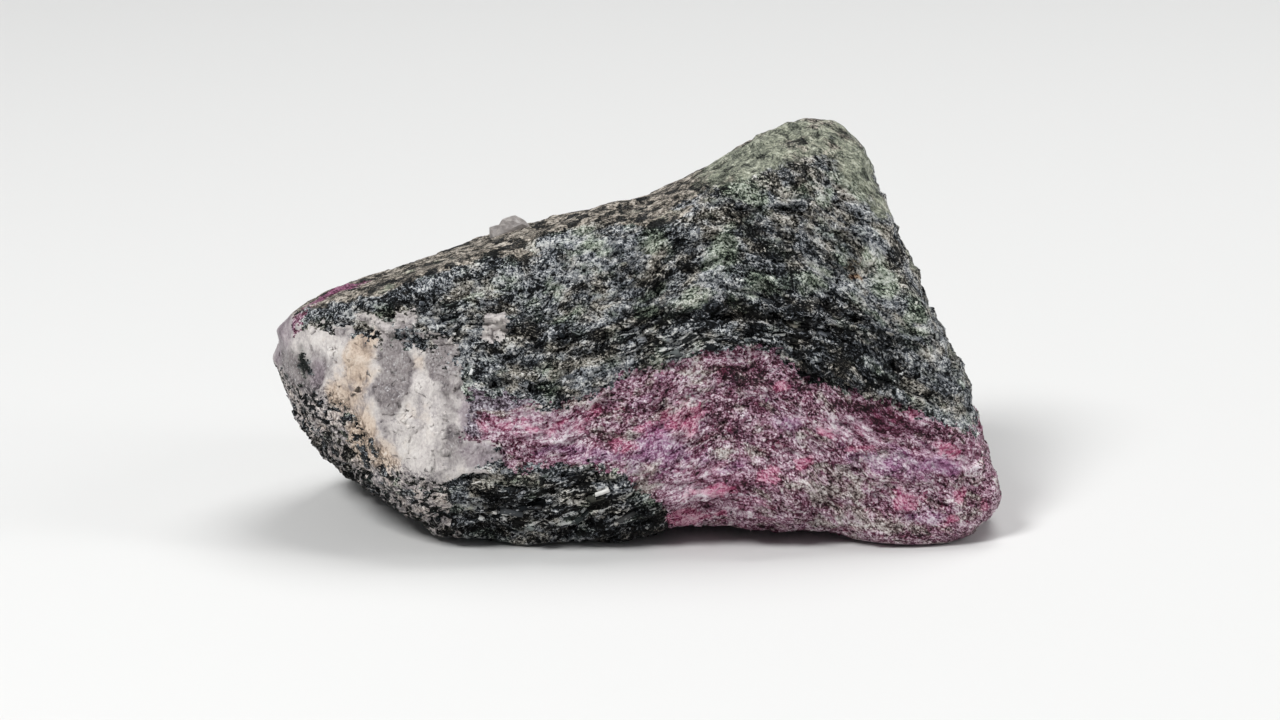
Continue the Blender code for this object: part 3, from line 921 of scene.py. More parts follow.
    def finish(self, colour, facing, height, depth_mm, roughness, glint):
        """Joins everything to the shader, with the height as a bump of depth_mm."""
        bump = {"Height": height, "Normal": facing, "Distance": depth_mm * MM, "Strength": 0.8}
        self.join(self.put("Bump", bump).outputs["Normal"], self.surface.inputs["Normal"])
        self.join(colour, self.surface.inputs["Base Color"])
        self.join(roughness, self.surface.inputs["Roughness"])
        self.surface.inputs["Specular IOR Level"].default_value = glint
        return self.material


def colour_of(code):
    """A screen colour such as 8f8a96 as the linear values that Blender takes, with full cover."""
    values = [int(code[at:at + 2], 16) / 255 for at in (0, 2, 4)]
    return (*(v / 12.92 if v < 0.04045 else ((v + 0.055) / 1.055) ** 2.4 for v in values), 1)


def host_material():
    """Black amphibole and pale zoisite in ragged patches, with green and rust, and the top's worn skin."""
    m = Minerals("dark host")
    layers = m.layers()
    bent = m.warped(layers, 0.9, 0.5)
    coarse, fine = m.cells(layers, (1.5, 1.7, 2.3)), m.cells(layers, (3.4, 3.6, 4.6))
    fine_noise = m.cloud(layers, (4.8, 4.8, 6), 2.5, 0.8)
    wide = m.cloud(bent, (0.34, 0.38, 0.62), 3.0, 0.5)
    ragged = m.cloud(bent, (1.2, 1.25, 1.4), 3.0, 0.8, 7.0)
    grainy = m.cloud(layers, (3.0, 3.1, 3.5), 3.0, 0.85, 45.0)
    grit = m.part(m.cells(layers, (7.5, 7.5, 8.5)), 0)
    fibres = m.cloud(m.warped(layers, 0.5, 0.4), (0.7, 1.0, 5.0), 4.0, 0.75, 51.0)
    threads = m.total(0.0, (m.strands(bent, (0.9, 1.0, 1.6), 0.014), 0.6),
                      (m.strands(bent, (1.6, 1.6, 1.4), 0.016, 19.0), 0.6))
    specks = m.specks(fine_noise, fine, 1, (0.40, 0.58), 0.55)
    pits = m.specks(fine_noise, fine, 2, (0.36, 0.58), 0.75, -1)
    slivers = m.ramp(m.part(m.cells(layers, (0.6, 0.7, 2.6)), 0), 0.30, 0.34)
    slabs = m.part(m.cells(layers, (0.55, 0.7, 1.4)), 1)
    flaky, plain = m.stored("flaky"), m.stored("plain")
    speckle = m.total(
        -0.02, (ragged, 1.05), (wide, 1.2), (grainy, 1.6), (fine_noise, 1.9), (m.part(fine, 0), 0.28), (grit, 0.26),
        (m.part(coarse, 0), 0.18), (threads, 0.15), (m.both(fibres, flaky), 4.2),
        (m.both(slivers, flaky), 0.40), (m.both(slabs, flaky), 0.40))
    speckle = m.both(speckle, m.total(1.0, (plain, -1.0), (m.stored("pale"), -0.25)))
    tint = m.total(-0.5, (m.stored("tint"), 1.0))
    # The chips' relief is painted in as shade in their hollows and light on their crests, and the dark spots
    # are partly painted shade.
    mix = m.total(
        0.50, (speckle, 1.0), (m.both(tint, m.total(0.36, (plain, 0.5))), 1.0), (m.stored("crest"), 0.045),
        (m.stored("pale"), 0.15), (m.stored("green"), 0.10), (m.stored("dark"), -0.36),
        (m.stored("speckled"), -0.24))
    cold = m.scale_of(mix, (0.14, "030405"), (0.30, "0a0d10"), (0.41, "22272b"), (0.52, "4e5359"),
                      (0.64, "84888e"), (0.80, "babdbf"), (0.95, "e4e5e3"))
    warm = m.scale_of(mix, (0.14, "040403"), (0.30, "0f0e0c"), (0.41, "2b2925"), (0.52, "5a564d"),
                      (0.64, "928c80"), (0.80, "c7c1b5"), (0.95, "e6e3dc"))
    green = m.scale_of(mix, (0.14, "040705"), (0.30, "121913"), (0.41, "343f36"), (0.52, "64705f"),
                       (0.64, "97a390"), (0.80, "c3cbbb"), (0.95, "e4e8df"))
    rust = m.scale_of(mix, (0.1, "1a0d07"), (0.45, "523019"), (0.75, "a2805c"))
    warmth = m.cloud(layers, (0.35, 0.35, 0.5), 3.0, 0.6, 21.0)
    colour = m.blend(m.ramp(warmth, -0.06, 0.14, 0, 0.9), cold, warm)
    greener = m.total(0.0, (m.stored("green"), 1.0), (m.cloud(bent, (0.30, 0.32, 0.45), 3.0, 0.6, 33.0), 3.0))
    colour = m.blend(m.ramp(greener, 0.0, 0.8, 0, 0.9), colour, green)
    rusty = m.total(0.0, (m.stored("rust"), 1.0), (fine_noise, 1.4), (ragged, 1.2))
    colour = m.blend(m.ramp(rusty, 0.3, 0.8, 0, 0.8), colour, rust)
    colour = m.blend(m.stored("black"), colour, colour_of("0f1412"))
    # Pale specks, partly pale grains and partly painted glints, and black pits, partly black grains and
    # partly painted shade in tiny pits.
    colour = m.blend(specks, colour, colour_of("b6b7b3"))
    colour = m.blend(pits, colour, colour_of("080909"))

    film = m.cloud(m.warped(layers, 0.7, 0.5), (0.9, 0.9, 2.4), 4.0, 0.7, 3.0)
    olive_share = m.total(0.0, (m.ramp(m.part(layers, 0), 1.5, 10.0), 0.75), (m.stored("green"), 0.4),
                          (m.cloud(bent, (0.2, 0.2, 0.35), 4.0, 0.6, 5.0), 3.0))
    olive_share = m.ramp(olive_share, 0.3, 0.7)
    hollow = m.total(0.0, (m.stored("lens"), 1.0), (film, 1.3), (ragged, 0.5), (olive_share, -0.24))
    hollow = m.ramp(hollow, 0.54, 0.68)
    # In the skin the chips' relief is painted in as shade and light, the pale specks are partly painted
    # glints, the black pits partly painted shade, and the skin spots lighten the summit's right edge partly
    # as painted light.
    shade = m.total(0.58, (hollow, -0.42), (film, 1.9), (grainy, 1.2), (fine_noise, 1.0), (m.part(fine, 0), 0.14),
                    (m.stored("crest"), 0.04), (wide, 0.5), (tint, 0.25), (specks, 0.15), (pits, -0.18),
                    (m.stored("skin"), 0.12))
    tan = m.scale_of(shade, (0.20, "060707"), (0.34, "171614"), (0.46, "47433d"), (0.58, "7b746a"),
                     (0.74, "aea599"), (0.94, "d8d0c5"))
    # The olive scale is darker as painted shade, where the summit turns away from the lights.
    olive = m.scale_of(shade, (0.08, "10120f"), (0.22, "30332c"), (0.36, "595d52"), (0.54, "7c8072"),
                       (0.78, "a5a894"), (0.97, "cccebe"))
    skin = m.blend(olive_share, tan, olive)
    worn = m.total(0.0, (m.stored("weathered"), 1.0), (m.part(coarse, 2), 0.4), (ragged, 1.0))
    colour = m.blend(m.ramp(worn, 0.15, 0.80, 0, 0.95), colour, skin)

    strong = m.ramp(m.stored("weathered"), 0, 1, 0.5, 0.25)
    facing = m.facing(((coarse, strong), (fine, strong)))
    lumps = m.cloud(layers, (2.4, 2.6, 3.6), 4.0, 0.74)
    height = m.total(0.0, (lumps, 2.2), (m.part(fine, 0), 0.6), (ragged, 1.0))
    roughness = m.total(0.52, (m.part(fine, 1), 0.44), (m.stored("weathered"), 0.08))
    return m.finish(colour, facing, height, depth_mm=0.14, roughness=roughness, glint=0.14)


def ruby_material():
    """The ruby layer: maroon, mauve and pink grains with ash-grey and cream ones between."""
    m = Minerals("ruby layer")
    layers = m.layers()
    bent = m.warped(layers, 0.8, 0.5)
    coarse, fine = m.cells(layers, (1.7, 1.9, 2.5)), m.cells(layers, (3.9, 4.0, 4.9))
    fine_noise = m.cloud(layers, (4.8, 4.8, 6), 2.5, 0.8)
    wide = m.cloud(bent, (0.42, 0.48, 0.8), 3.0, 0.5)
    ragged = m.cloud(bent, (1.2, 1.25, 1.35), 2.0, 0.8, 7.0)
    grainy = m.cloud(layers, (2.7, 2.8, 3.1), 3.0, 0.85, 45.0)
    grit = m.part(m.cells(layers, (7, 7, 7.5)), 0)
    combed = m.cloud(m.warped(layers, 0.4, 0.5), (0.45, 0.6, 4.2), 4.0, 0.72, 51.0)
    combed = m.both(combed, m.stored("combed"))
    grains = m.cells(m.warped(layers, 1.5, 0.55), (0.75, 0.85, 1.15))
    ash_grain = m.ramp(m.part(grains, 0), 0.66, 0.80)
    pink_grain = m.ramp(m.part(grains, 1), 0.80, 0.92)
    dark_grain = m.ramp(m.part(grains, 2), 0.72, 0.90)
    specks = m.specks(fine_noise, fine, 1, (0.40, 0.60), 0.5)
    pits = m.specks(fine_noise, fine, 2, (0.38, 0.60), 0.6, -1)
    tint = m.total(-0.5, (m.stored("tint"), 1.0))
    shards = m.total(-0.41, (grainy, 1.5), (fine_noise, 1.9), (m.part(fine, 0), 0.40), (grit, 0.42))
    sharp = m.total(1.0, (m.stored("combed"), -0.45), (m.stored("lilac"), -0.45))
    # The chips' relief is painted in as shade in their hollows and light on their crests.
    mix = m.total(
        0.91, (ragged, 0.55), (wide, 1.0), (combed, 1.6), (m.both(shards, sharp), 1.0),
        (m.part(coarse, 0), 0.20), (m.stored("crest"), 0.055), (tint, 0.22), (m.stored("maroon"), -0.32),
        (m.stored("ash"), 0.11), (m.stored("lilac"), 0.01), (m.stored("pink"), 0.08),
        (m.stored("mauve"), 0.03), (dark_grain, -0.07), (ash_grain, 0.03), (pink_grain, 0.03))
    rosy = m.scale_of(mix, (0.10, "1c050d"), (0.26, "48172b"), (0.39, "6f3850"), (0.50, "8e6176"),
                      (0.62, "a98798"), (0.78, "cbadbc"), (0.95, "ebdfe5"))
    ash = m.scale_of(mix, (0.10, "170e0f"), (0.28, "40332f"), (0.43, "716860"), (0.58, "9d968b"),
                     (0.78, "c6c0b7"), (0.95, "e5e1db"))
    pink = m.scale_of(mix, (0.10, "4a1026"), (0.28, "852b50"), (0.43, "ad5073"), (0.60, "c87c99"),
                      (0.85, "e3b6c7"))
    ashen = m.total(0.0, (m.stored("ash"), 0.6), (m.cloud(bent, (0.6, 0.65, 1.0), 3.0, 0.55, 13.0), 3.0),
                    (m.part(coarse, 1), 0.14), (ash_grain, 0.55), (m.stored("combed"), -0.4))
    colour = m.blend(m.ramp(ashen, 0.0, 0.75, 0, 0.75), rosy, ash)
    pinker = m.total(0.0, (m.stored("pink"), 1.1), (m.cloud(bent, (0.6, 0.65, 1.0), 3.0, 0.55, 29.0), 2.4),
                     (m.part(coarse, 2), 0.14), (pink_grain, 0.75))
    colour = m.blend(m.ramp(pinker, 0.15, 0.85, 0, 0.85), colour, pink)
    violet = m.scale_of(mix, (0.15, "30132e"), (0.45, "8c5683"), (0.65, "b68cb2"), (0.95, "e3d4e3"))
    purpler = m.total(0.0, (m.stored("lilac"), 1.0), (m.cloud(bent, (0.4, 0.42, 0.6), 2.0, 0.5, 37.0), 2.4))
    colour = m.blend(m.ramp(purpler, 0.15, 0.95, 0, 0.6), colour, violet)
    mauve = m.scale_of(mix, (0.15, "1f1a20"), (0.40, "574d58"), (0.58, "837986"), (0.75, "aea6b2"),
                       (0.95, "dcd9e0"))
    greyer = m.total(0.0, (m.stored("mauve"), 1.0), (wide, 1.5))
    colour = m.blend(m.ramp(greyer, 0.2, 0.75, 0, 0.9), colour, mauve)
    worn = m.ramp(m.stored("weathered"), 0.3, 0.9, 0, 0.35)
    colour = m.blend(worn, colour, colour_of("7d7262"))
    stain = m.scale_of(mix, (0.15, "2c0620"), (0.5, "69204c"), (0.9, "a9708f"))
    colour = m.blend(m.ramp(m.stored("magenta"), 0.35, 0.85, 0, 0.9), colour, stain)
    # Pale specks, partly pale grains and partly painted glints, and dark maroon pits, partly dark grains and
    # partly painted shade in tiny pits.
    colour = m.blend(specks, colour, colour_of("d8cdd3"))
    colour = m.blend(pits, colour, colour_of("240c14"))

    facing = m.facing(((coarse, 0.4), (fine, 0.5)))
    lumps = m.cloud(layers, (2.6, 2.6, 3.4), 4.0, 0.74)
    height = m.total(0.0, (lumps, 2.0), (m.part(fine, 0), 0.6), (ragged, 0.8))
    roughness = m.total(0.50, (m.part(fine, 1), 0.35))
    return m.finish(colour, facing, height, depth_mm=0.14, roughness=roughness, glint=0.25)


def pod_material():
    """The pod of white feldspar with cream patches and grey quartz."""
    m = Minerals("pale pod")
    place = m.place()
    bent = m.warped(place, 0.7, 0.8)
    grain = m.cells(place, (2.6, 2.6, 1.7))
    cloudy = m.cloud(bent, (0.55, 0.55, 0.4), 5.0, 0.62)
    sugar = m.cloud(place, (4.5, 4.5, 3.6), 3.0, 0.7)
    strokes = m.cloud(bent, (1.9, 1.9, 0.5), 4.0, 0.62)
    tint = m.total(-0.5, (m.stored("tint"), 1.0))
    # The chips' relief is painted in as shade in their hollows and light on their crests.
    mix = m.total(
        0.52, (m.part(grain, 0), 0.05), (cloudy, 0.8), (sugar, 0.75), (strokes, 0.45),
        (m.both(m.stored("cream"), cloudy), 1.0), (m.stored("crest"), 0.02), (tint, 0.2),
        (m.stored("white"), 0.10), (m.both(sugar, m.stored("speckled")), 2.4), (m.stored("speckled"), -0.22))
    white = m.scale_of(mix, (0.15, "857f82"), (0.35, "aaa4a5"), (0.50, "c5bfbd"), (0.72, "dcd7d3"),
                       (0.95, "f0edeb"))
    cream = m.scale_of(mix, (0.15, "8e7d6e"), (0.35, "b29e8d"), (0.50, "cbb8a6"), (0.72, "dccdbe"),
                       (0.95, "ebe3da"))
    quartz = m.scale_of(mix, (0.15, "453f41"), (0.35, "665f61"), (0.50, "857d7d"), (0.72, "aaa4a3"),
                        (0.95, "d8d5d4"))
    creamy = m.total(0.0, (m.stored("cream"), 1.0), (cloudy, 1.8), (m.stored("speckled"), 0.25))
    colour = m.blend(m.ramp(creamy, 0.05, 0.95, 0.05, 1.0), white, cream)
    glassy = m.total(0.0, (m.stored("quartz"), 1.0), (cloudy, -2.0), (sugar, 0.4), (m.stored("mottle"), 0.45),
                     (m.stored("speckled"), -0.55), (m.stored("white"), -0.3))
    colour = m.blend(m.ramp(glassy, 0.15, 0.85), colour, quartz)
    sparks = m.ramp(m.cloud(place, (3.2, 3.2, 2.6), 3.0, 0.8, 61.0), 0.06, 0.18, 0, 0.75)
    colour = m.blend(m.both(sparks, m.stored("quartz")), colour, colour_of("d9d7d8"))
    pits = m.ramp(m.total(0.0, (sugar, -2.2), (m.part(grain, 2), 0.4)), 0.22, 0.42, 0, 0.8)
    colour = m.blend(m.both(pits, m.stored("mottle")), colour, colour_of("1b1c19"))
    flecks = m.cloud(place, (1.5, 1.5, 1.3), 4.0, 0.75, 77.0)
    flecks = m.total(0.0, (flecks, 2.6), (m.stored("speckled"), 0.5))
    flecks = m.both(m.ramp(flecks, 0.62, 0.74), m.stored("speckled"))
    colour = m.blend(flecks, colour, colour_of("141614"))
    rim = m.scale_of(mix, (0.15, "3a3036"), (0.45, "81747c"), (0.75, "b5aab0"), (0.95, "dedadc"))
    colour = m.blend(m.ramp(m.stored("mauve"), 0.1, 0.9, 0, 0.85), colour, rim)
    colour = m.blend(m.stored("black"), colour, colour_of("10150f"))
    colour = m.blend(m.total(0.0, (m.stored("maroon"), 0.5)), colour, colour_of("6b3a52"))
    colour = m.blend(m.ramp(m.stored("weathered"), 0.3, 1.0, 0, 0.45), colour, colour_of("8d8375"))

    facing = m.facing(((grain, 0.12),))
    height = m.total(0.0, (sugar, 1.0), (strokes, 1.4), (cloudy, 1.0))
    roughness = m.total(0.45, (m.part(grain, 1), 0.28))
    return m.finish(colour, facing, height, depth_mm=0.13, roughness=roughness, glint=0.5)


# A block's corners, and the four of each side. The skin is all the pieces of the broken surface.
CORNERS = np.array([(x, y, z) for x in (-0.5, 0.5) for y in (-0.5, 0.5) for z in (-0.5, 0.5)])
SIDES = np.array([(0, 1, 3, 2), (4, 6, 7, 5), (0, 4, 5, 1), (2, 3, 7, 6), (0, 2, 6, 4), (1, 5, 7, 3)])
SKIN = ("dark_host", "weathered_skin", "ruby_layer", "pale_pod")

# A kind of grain: how many are tried, its size along, across and out of the surface in millimetres, how much
# the sizes vary, how far it turns and tilts in degrees, how far it is sunk in the surface, how free it is of
# speckles, from 0 to 1, and the seed of its random numbers.
Grain = namedtuple("Grain", "name tries size vary turn tilt sunk plain seed")


def skin_samples(names, tries, rng):
    """Random places on pieces of the skin, evenly by area, with their outward directions, the values stored
    there and their places in the layers."""
    triangles, places, normals, values, vectors, start = [], [], [], {}, {}, 0
    for name in names:
        mesh = bpy.data.objects[name].data
        mesh.calc_loop_triangles()
        triangles.append(point_numbers(mesh.loop_triangles, "vertices", 3) + start)
        places.append(numbers(mesh.vertices, "co") / MM)
        normals.append(numbers(mesh.vertices, "normal"))
        start += len(mesh.vertices)
        for found in mesh.attributes:
            if found.data_type == "FLOAT":
                values.setdefault(found.name, []).append(numbers(found.data, "value", 1)[:, 0])
        for kind in ("layers", "out"):
            vectors.setdefault(kind, []).append(numbers(mesh.attributes[kind].data, "vector"))
    triangles, places = np.concatenate(triangles), np.concatenate(places)
    a, b, c = (places[triangles[:, at]] for at in range(3))
    area = np.linalg.norm(np.cross(b - a, c - a), axis=1)
    picked = triangles[rng.choice(len(triangles), tries, p=area / area.sum())]
    weights = rng.dirichlet((1, 1, 1), tries)

    def mixed(found):
        return np.einsum("ij,ij...->i...", weights, found[picked])

    values = {kind: mixed(np.concatenate(found)) for kind, found in values.items()}
    layers, out = (mixed(np.concatenate(vectors[kind])) for kind in ("layers", "out"))
    return mixed(places), unit(out + 1.5 * mixed(np.concatenate(normals))), values, layers


def unit(vectors):
    """Each vector at a length of 1."""
    return vectors / np.maximum(np.linalg.norm(vectors, axis=1)[:, None], 1e-9)


def slope_at(places):
    """The slope of the rock's layers along X."""
    x = places[:, 0]
    return -arch_at(x) * 2 * (x - ARCH_MIDDLE) / ARCH_WIDTH ** 2 - DIP * (x > DIP_START)


def angular_shapes(sizes, rng):
    """Uneven six-sided blocks with tapered ends, one to each row of sizes."""
    uneven, narrowest = 0.32, 0.45
    count = len(sizes)
    shape = CORNERS * (1 + uneven * rng.uniform(-1, 1, (count, 8, 3)))
    taper = rng.uniform(narrowest, 1.0, (count, 2, 1))
    shape[:, :4, 1:] *= taper[:, :1]
    shape[:, 4:, 1:] *= taper[:, 1:]
    return shape * sizes[:, None, :]


def set_blocks(name, centres, axes, shapes, values, layers, material):
    """One piece that holds every block, with the values of its place stored on each."""
    count = len(centres)
    points = (centres[:, None, :] + np.einsum("nkj,njx->nkx", shapes, axes)).reshape(-1, 3)
    squares = (SIDES[None] + 8 * np.arange(count)[:, None, None]).reshape(-1, 4)
    piece = new_mesh(name, points, squares, material)
    store(piece.data, {kind: np.repeat(found, 8) for kind, found in values.items()},
          {"layers": np.repeat(layers, 8, axis=0)})
    lay_out_blocks(piece.data, count)
    return piece


def lay_out_blocks(mesh, count):
    """A texture map in which each block has a square of its own, and each of its six sides a part of that."""
    across = math.ceil(math.sqrt(count))
    square = 1 / across
    block, side = np.divmod(np.arange(count * 6), 6)
    left = (block % across + (side % 3) / 3) * square
    foot = (block // across + (side // 3) / 2) * square
    near, far = 0.05, 0.95
    corner_x = np.array([near, far, far, near]) * square / 3
    corner_y = np.array([near, near, far, far]) * square / 2
    laid = np.stack([left[:, None] + corner_x, foot[:, None] + corner_y], 2)
    mesh.uv_layers.new(name="OFBake").uv.foreach_set("vector", laid.astype(np.float32).ravel())


def make_grains(grain, names, likely, shade):
    """Angular grains set into the named pieces, lying along the rock's layers. likely gives each place's
    chance of one, and shade its lightness from random numbers."""
    lowest = 0.4
    rng = np.random.default_rng(grain.seed)
    places, out, values, layers = skin_samples(names, grain.tries, rng)
    chance = likely(values, layers) * (places[:, 2] > lowest) * (1 - 0.8 * values["edge"])
    kept = rng.random(len(places)) < chance
    places, out, layers = places[kept], out[kept], layers[kept]
    values = {name: found[kept] for name, found in values.items()}
    count = len(places)

    dip = np.stack([np.ones(count), 0.2 * rng.standard_normal(count), slope_at(places)], 1)
    across = unit(np.cross(out, dip))
    lengthwise = unit(np.cross(across, out))
    turn = np.radians(grain.turn) * rng.standard_normal((count, 1))
    tilt = np.radians(grain.tilt) * rng.standard_normal((count, 2))
    first = unit(lengthwise * np.cos(turn) + across * np.sin(turn) + out * np.tan(tilt[:, :1]))
    second = unit(np.cross(out + across * np.tan(tilt[:, 1:]), first))
    axes = np.stack([first, second, np.cross(first, second)], 1)

    sizes = np.array(grain.size) * np.exp(grain.vary * np.clip(rng.standard_normal((count, 3)), -2, 2))
    centres = places - out * (grain.sunk * sizes[:, 2:])
    values["tint"] = shade(rng.random(count))
    values["plain"] = np.full(count, grain.plain)
    # A dark patch, which is partly painted shade, darkens the grains in it half as much as the rock between
    # them, so the pale grains stay bright in it, partly as painted glints.
    values["dark"] = 0.5 * values["dark"]
    material = bpy.data.objects[names[0]].data.materials[0]
    return set_blocks(grain.name, centres, axes, angular_shapes(sizes, rng), values, layers, material)


def black_blades():
    """Short black blades of amphibole in the host, fewer in its green and worn parts."""
    grain = Grain("black_blades", tries=36000, size=(0.34, 0.17, 0.11), vary=0.45, turn=45, tilt=12,
                  sunk=0.32, plain=0.2, seed=11)

    def likely(values, layers):
        patch = 0.5 + 0.9 * noise_at(layers, (0.3, 0.4, 0.8), 40.0)
        chance = np.clip(patch + 0.5 * values["dark"] - 0.5 * values["green"], 0.12, 1)
        return 0.62 * chance * (1 - 0.9 * values["weathered"])

    return make_grains(grain, ("dark_host",), likely, lambda share: 0.1 + 0.4 * share)


def pale_grains():
    """Pale grains of zoisite in the host, more in its pale and green patches."""
    grain = Grain("pale_grains", tries=44000, size=(0.23, 0.14, 0.10), vary=0.45, turn=70, tilt=18,
                  sunk=0.32, plain=0.2, seed=12)

    def likely(values, layers):
        patch = 0.42 + 1.1 * noise_at(layers, (0.35, 0.45, 0.8), 60.0)
        patch = patch + 0.45 * values["pale"] + 0.3 * values["green"]
        chance = np.clip(patch - 0.45 * values["dark"] - 0.3 * values["mottle"], 0.06, 1)
        return 0.55 * chance * (1 - 0.8 * values["weathered"])

    return make_grains(grain, ("dark_host",), likely, lambda share: 0.55 + 0.5 * share ** 2)


def ruby_grains():
    """Broken grains of ruby."""
    grain = Grain("ruby_grains", tries=26000, size=(0.24, 0.18, 0.13), vary=0.45, turn=70, tilt=18,
                  sunk=0.34, plain=0.0, seed=13)
    return make_grains(grain, ("ruby_layer",), lambda values, layers: 0.5 * (1 - 0.6 * values["weathered"]),
                       lambda share: 0.2 + 0.6 * share)


def pod_flakes():
    """Thin flakes of feldspar that lie almost flat on the pod."""
    grain = Grain("pod_flakes", tries=3000, size=(0.50, 0.36, 0.07), vary=0.5, turn=60, tilt=4, sunk=0.40,
                  plain=0.0, seed=14)
    return make_grains(grain, ("pale_pod",), lambda values, layers: 0.4 * (1 - 0.6 * values["weathered"]),
                       lambda share: 0.35 + 0.35 * share)


def slabs():
    """Cleaved slabs, stacked along the layers over the middle of the ruby and in the black foot."""
    grain = Grain("slabs", tries=9000, size=(1.0, 0.42, 0.26), vary=0.4, turn=14, tilt=12, sunk=0.3,
                  plain=0.55, seed=15)
    # The brightest few slabs are lifted higher still as painted glints.
    return make_grains(grain, ("dark_host",),
                       lambda values, layers: 0.14 * smooth(1.6 * values["flaky"] - 0.4),
                       lambda share: 0.85 * share ** 1.5 + 0.5 * (share > 0.93))


def large_plates():
    """The cleaved plates that stand out on the broken front."""
    rng = np.random.default_rng(21)
    places, out, values, layers = skin_samples(SKIN, tries=60000, rng=rng)
    front = out[:, 1] < -0.3
    places, out, layers = places[front], out[front], layers[front]
    chosen = [int(np.argmin(np.hypot(places[:, 0] - plate.x, places[:, 2] - plate.z))) for plate in PLATES]
    values = {name: found[front][chosen] for name, found in values.items()}
    values["tint"] = np.array([plate.shade for plate in PLATES])
    values["plain"] = np.full(len(PLATES), 0.7)
    values["dark"] = np.zeros(len(PLATES))
    out = out[chosen]
    slopes = np.radians([plate.slope for plate in PLATES])[:, None]
    level = unit(np.cross(out, (0.0, 0.0, -1.0)))
    upward = np.cross(out, level)
    lean = 0.12 * rng.standard_normal((len(PLATES), 3))
    first = unit(level * np.cos(slopes) + upward * np.sin(slopes) + lean)
    second = unit(np.cross(out, first))
    axes = np.stack([first, second, np.cross(first, second)], 1)
    sizes = np.array([plate.size for plate in PLATES])
    material = bpy.data.objects["dark_host"].data.materials[0]
    sunk = 0.35
    centres = places[chosen] - sunk * sizes[:, 2:] * out
    shapes = angular_shapes(sizes, rng)
    return set_blocks("large_plates", centres, axes, shapes, values, layers[chosen], material)


def splinter_shape(bm):
    """The splinter upright around its own foot, thin at the rim and creased along its middle."""
    outline = []
    corners = SPLINTER_OUTLINE + SPLINTER_OUTLINE[:1]
    for start, end in zip(corners, corners[1:]):
        for share in (0, 0.25, 0.5, 0.75):
            outline.append([start[at] + share * (end[at] - start[at]) for at in (0, 1)])
    rims = []
    for side in (-1, 1):
        rim = [bm.verts.new((x, side * SPLINTER_RIM / 2, z)) for x, z in outline]
        crease = [bm.verts.new((x, side * SPLINTER_THICKNESS / 2, z)) for x, z in SPLINTER_CREASE]
        nearest = [min(crease, key=lambda end: math.hypot(end.co.x - x, end.co.z - z)) for x, z in outline]
        for at, corner in enumerate(rim):
            after = (at + 1) % len(rim)
            bm.faces.new((corner, rim[after], nearest[after]))
            if nearest[at] is not nearest[after]:
                bm.faces.new((corner, nearest[after], nearest[at]))
        rims.append(rim)
    for at in range(len(outline)):
        after = (at + 1) % len(outline)
        bm.faces.new((rims[0][at], rims[0][after], rims[1][after], rims[1][at]))
    bmesh.ops.subdivide_edges(bm, edges=bm.edges, cuts=3, use_grid_fill=True)
    # The seed makes every run alike.
    noise.seed_set(NOISE_SEED)
    for vert in bm.verts:
        vert.co += 0.08 * noise.noise_vector(vert.co * 1.1) + 0.02 * noise.noise_vector(vert.co * 4.0)
    bmesh.ops.recalc_face_normals(bm, faces=bm.faces)


def splinter_material():
    """Grey quartz, clouded and a little clear."""
    m = Minerals("grey splinter")
    film = m.total(0.5, (m.cloud(m.place(), (0.9, 1.5, 1.6), 5.0, 0.65), 1.3))
    colour = m.scale_of(film, (0.2, "7a7472"), (0.45, "a19a97"), (0.6, "b9b2ae"), (0.85, "dcd7d3"))
    gloss = m.ramp(film, 0.2, 0.8, 0.5, 0.25)
    m.surface.inputs["Transmission Weight"].default_value = 0.25
    m.surface.inputs["IOR"].default_value = 1.54
    return m.finish(colour, m.facing(()), film, depth_mm=0.1, roughness=gloss, glint=0.5)


def splinter():
    """The thin grey flake, turned and set down on the top."""
    bm = bmesh.new()
    splinter_shape(bm)
    skin = bpy.data.objects["weathered_skin"].data
    places, out = numbers(skin.vertices, "co") / MM, numbers(skin.attributes["out"].data, "vector")
    foot = ground_under_splinter(places, out)[0]
    turned, leaned = math.cos(SPLINTER_TURN), math.sin(SPLINTER_TURN)
    for vert in bm.verts:
        x, y, z = vert.co
        across = SPLINTER_PLACE[0] + x * turned - y * leaned
        back = SPLINTER_PLACE[1] + x * leaned + y * turned
        vert.co = Vector((across, back, z + foot)) * MM
    mesh = bpy.data.meshes.new("splinter")
    bm.to_mesh(mesh)
    bm.free()
    mesh.materials.append(splinter_material())
    return add_object("splinter", mesh)


def finish_piece(piece, *nodes):
    """Rides a piece on the stone's body, and hides the nodes that it stands in for."""
    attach(piece, BODY)
    if nodes:
        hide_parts(*nodes)


def make_floor(settings):
    """A pale sheet that rises behind the stone in one smooth curve. Its lengths are in metres."""
    front, flat_end, bend, rise, half_width = -1.6, 0.6, 0.5, 1.2, 2.4
    profile = [(front, 0.0), (flat_end, 0.0)]
    for degrees in range(5, 91, 5):
        angle = math.radians(degrees)
        profile.append((flat_end + bend * math.sin(angle), bend - bend * math.cos(angle)))
    profile.append((flat_end + bend, rise))
    bm = bmesh.new()
    rows = [[bm.verts.new((side * half_width, y, z)) for side in (-1, 1)] for y, z in profile]
    for near, far in zip(rows, rows[1:]):
        bm.faces.new((near[0], near[1], far[1], far[0]))
    mesh = bpy.data.meshes.new("floor")
    bm.to_mesh(mesh)
    bm.free()
    mesh.shade_smooth()
    floor = add_object("floor", mesh)
    m = Minerals("pale paper")
    m.surface.inputs["Base Color"].default_value = (*settings.floor_colour, 1)
    m.surface.inputs["Roughness"].default_value = 0.85
    mesh.materials.append(m.material)


def aim(thing, target):
    """Turns a light or the camera to a target."""
    thing.rotation_euler = (Vector(target) - thing.location).to_track_quat("-Z", "Y").to_euler()


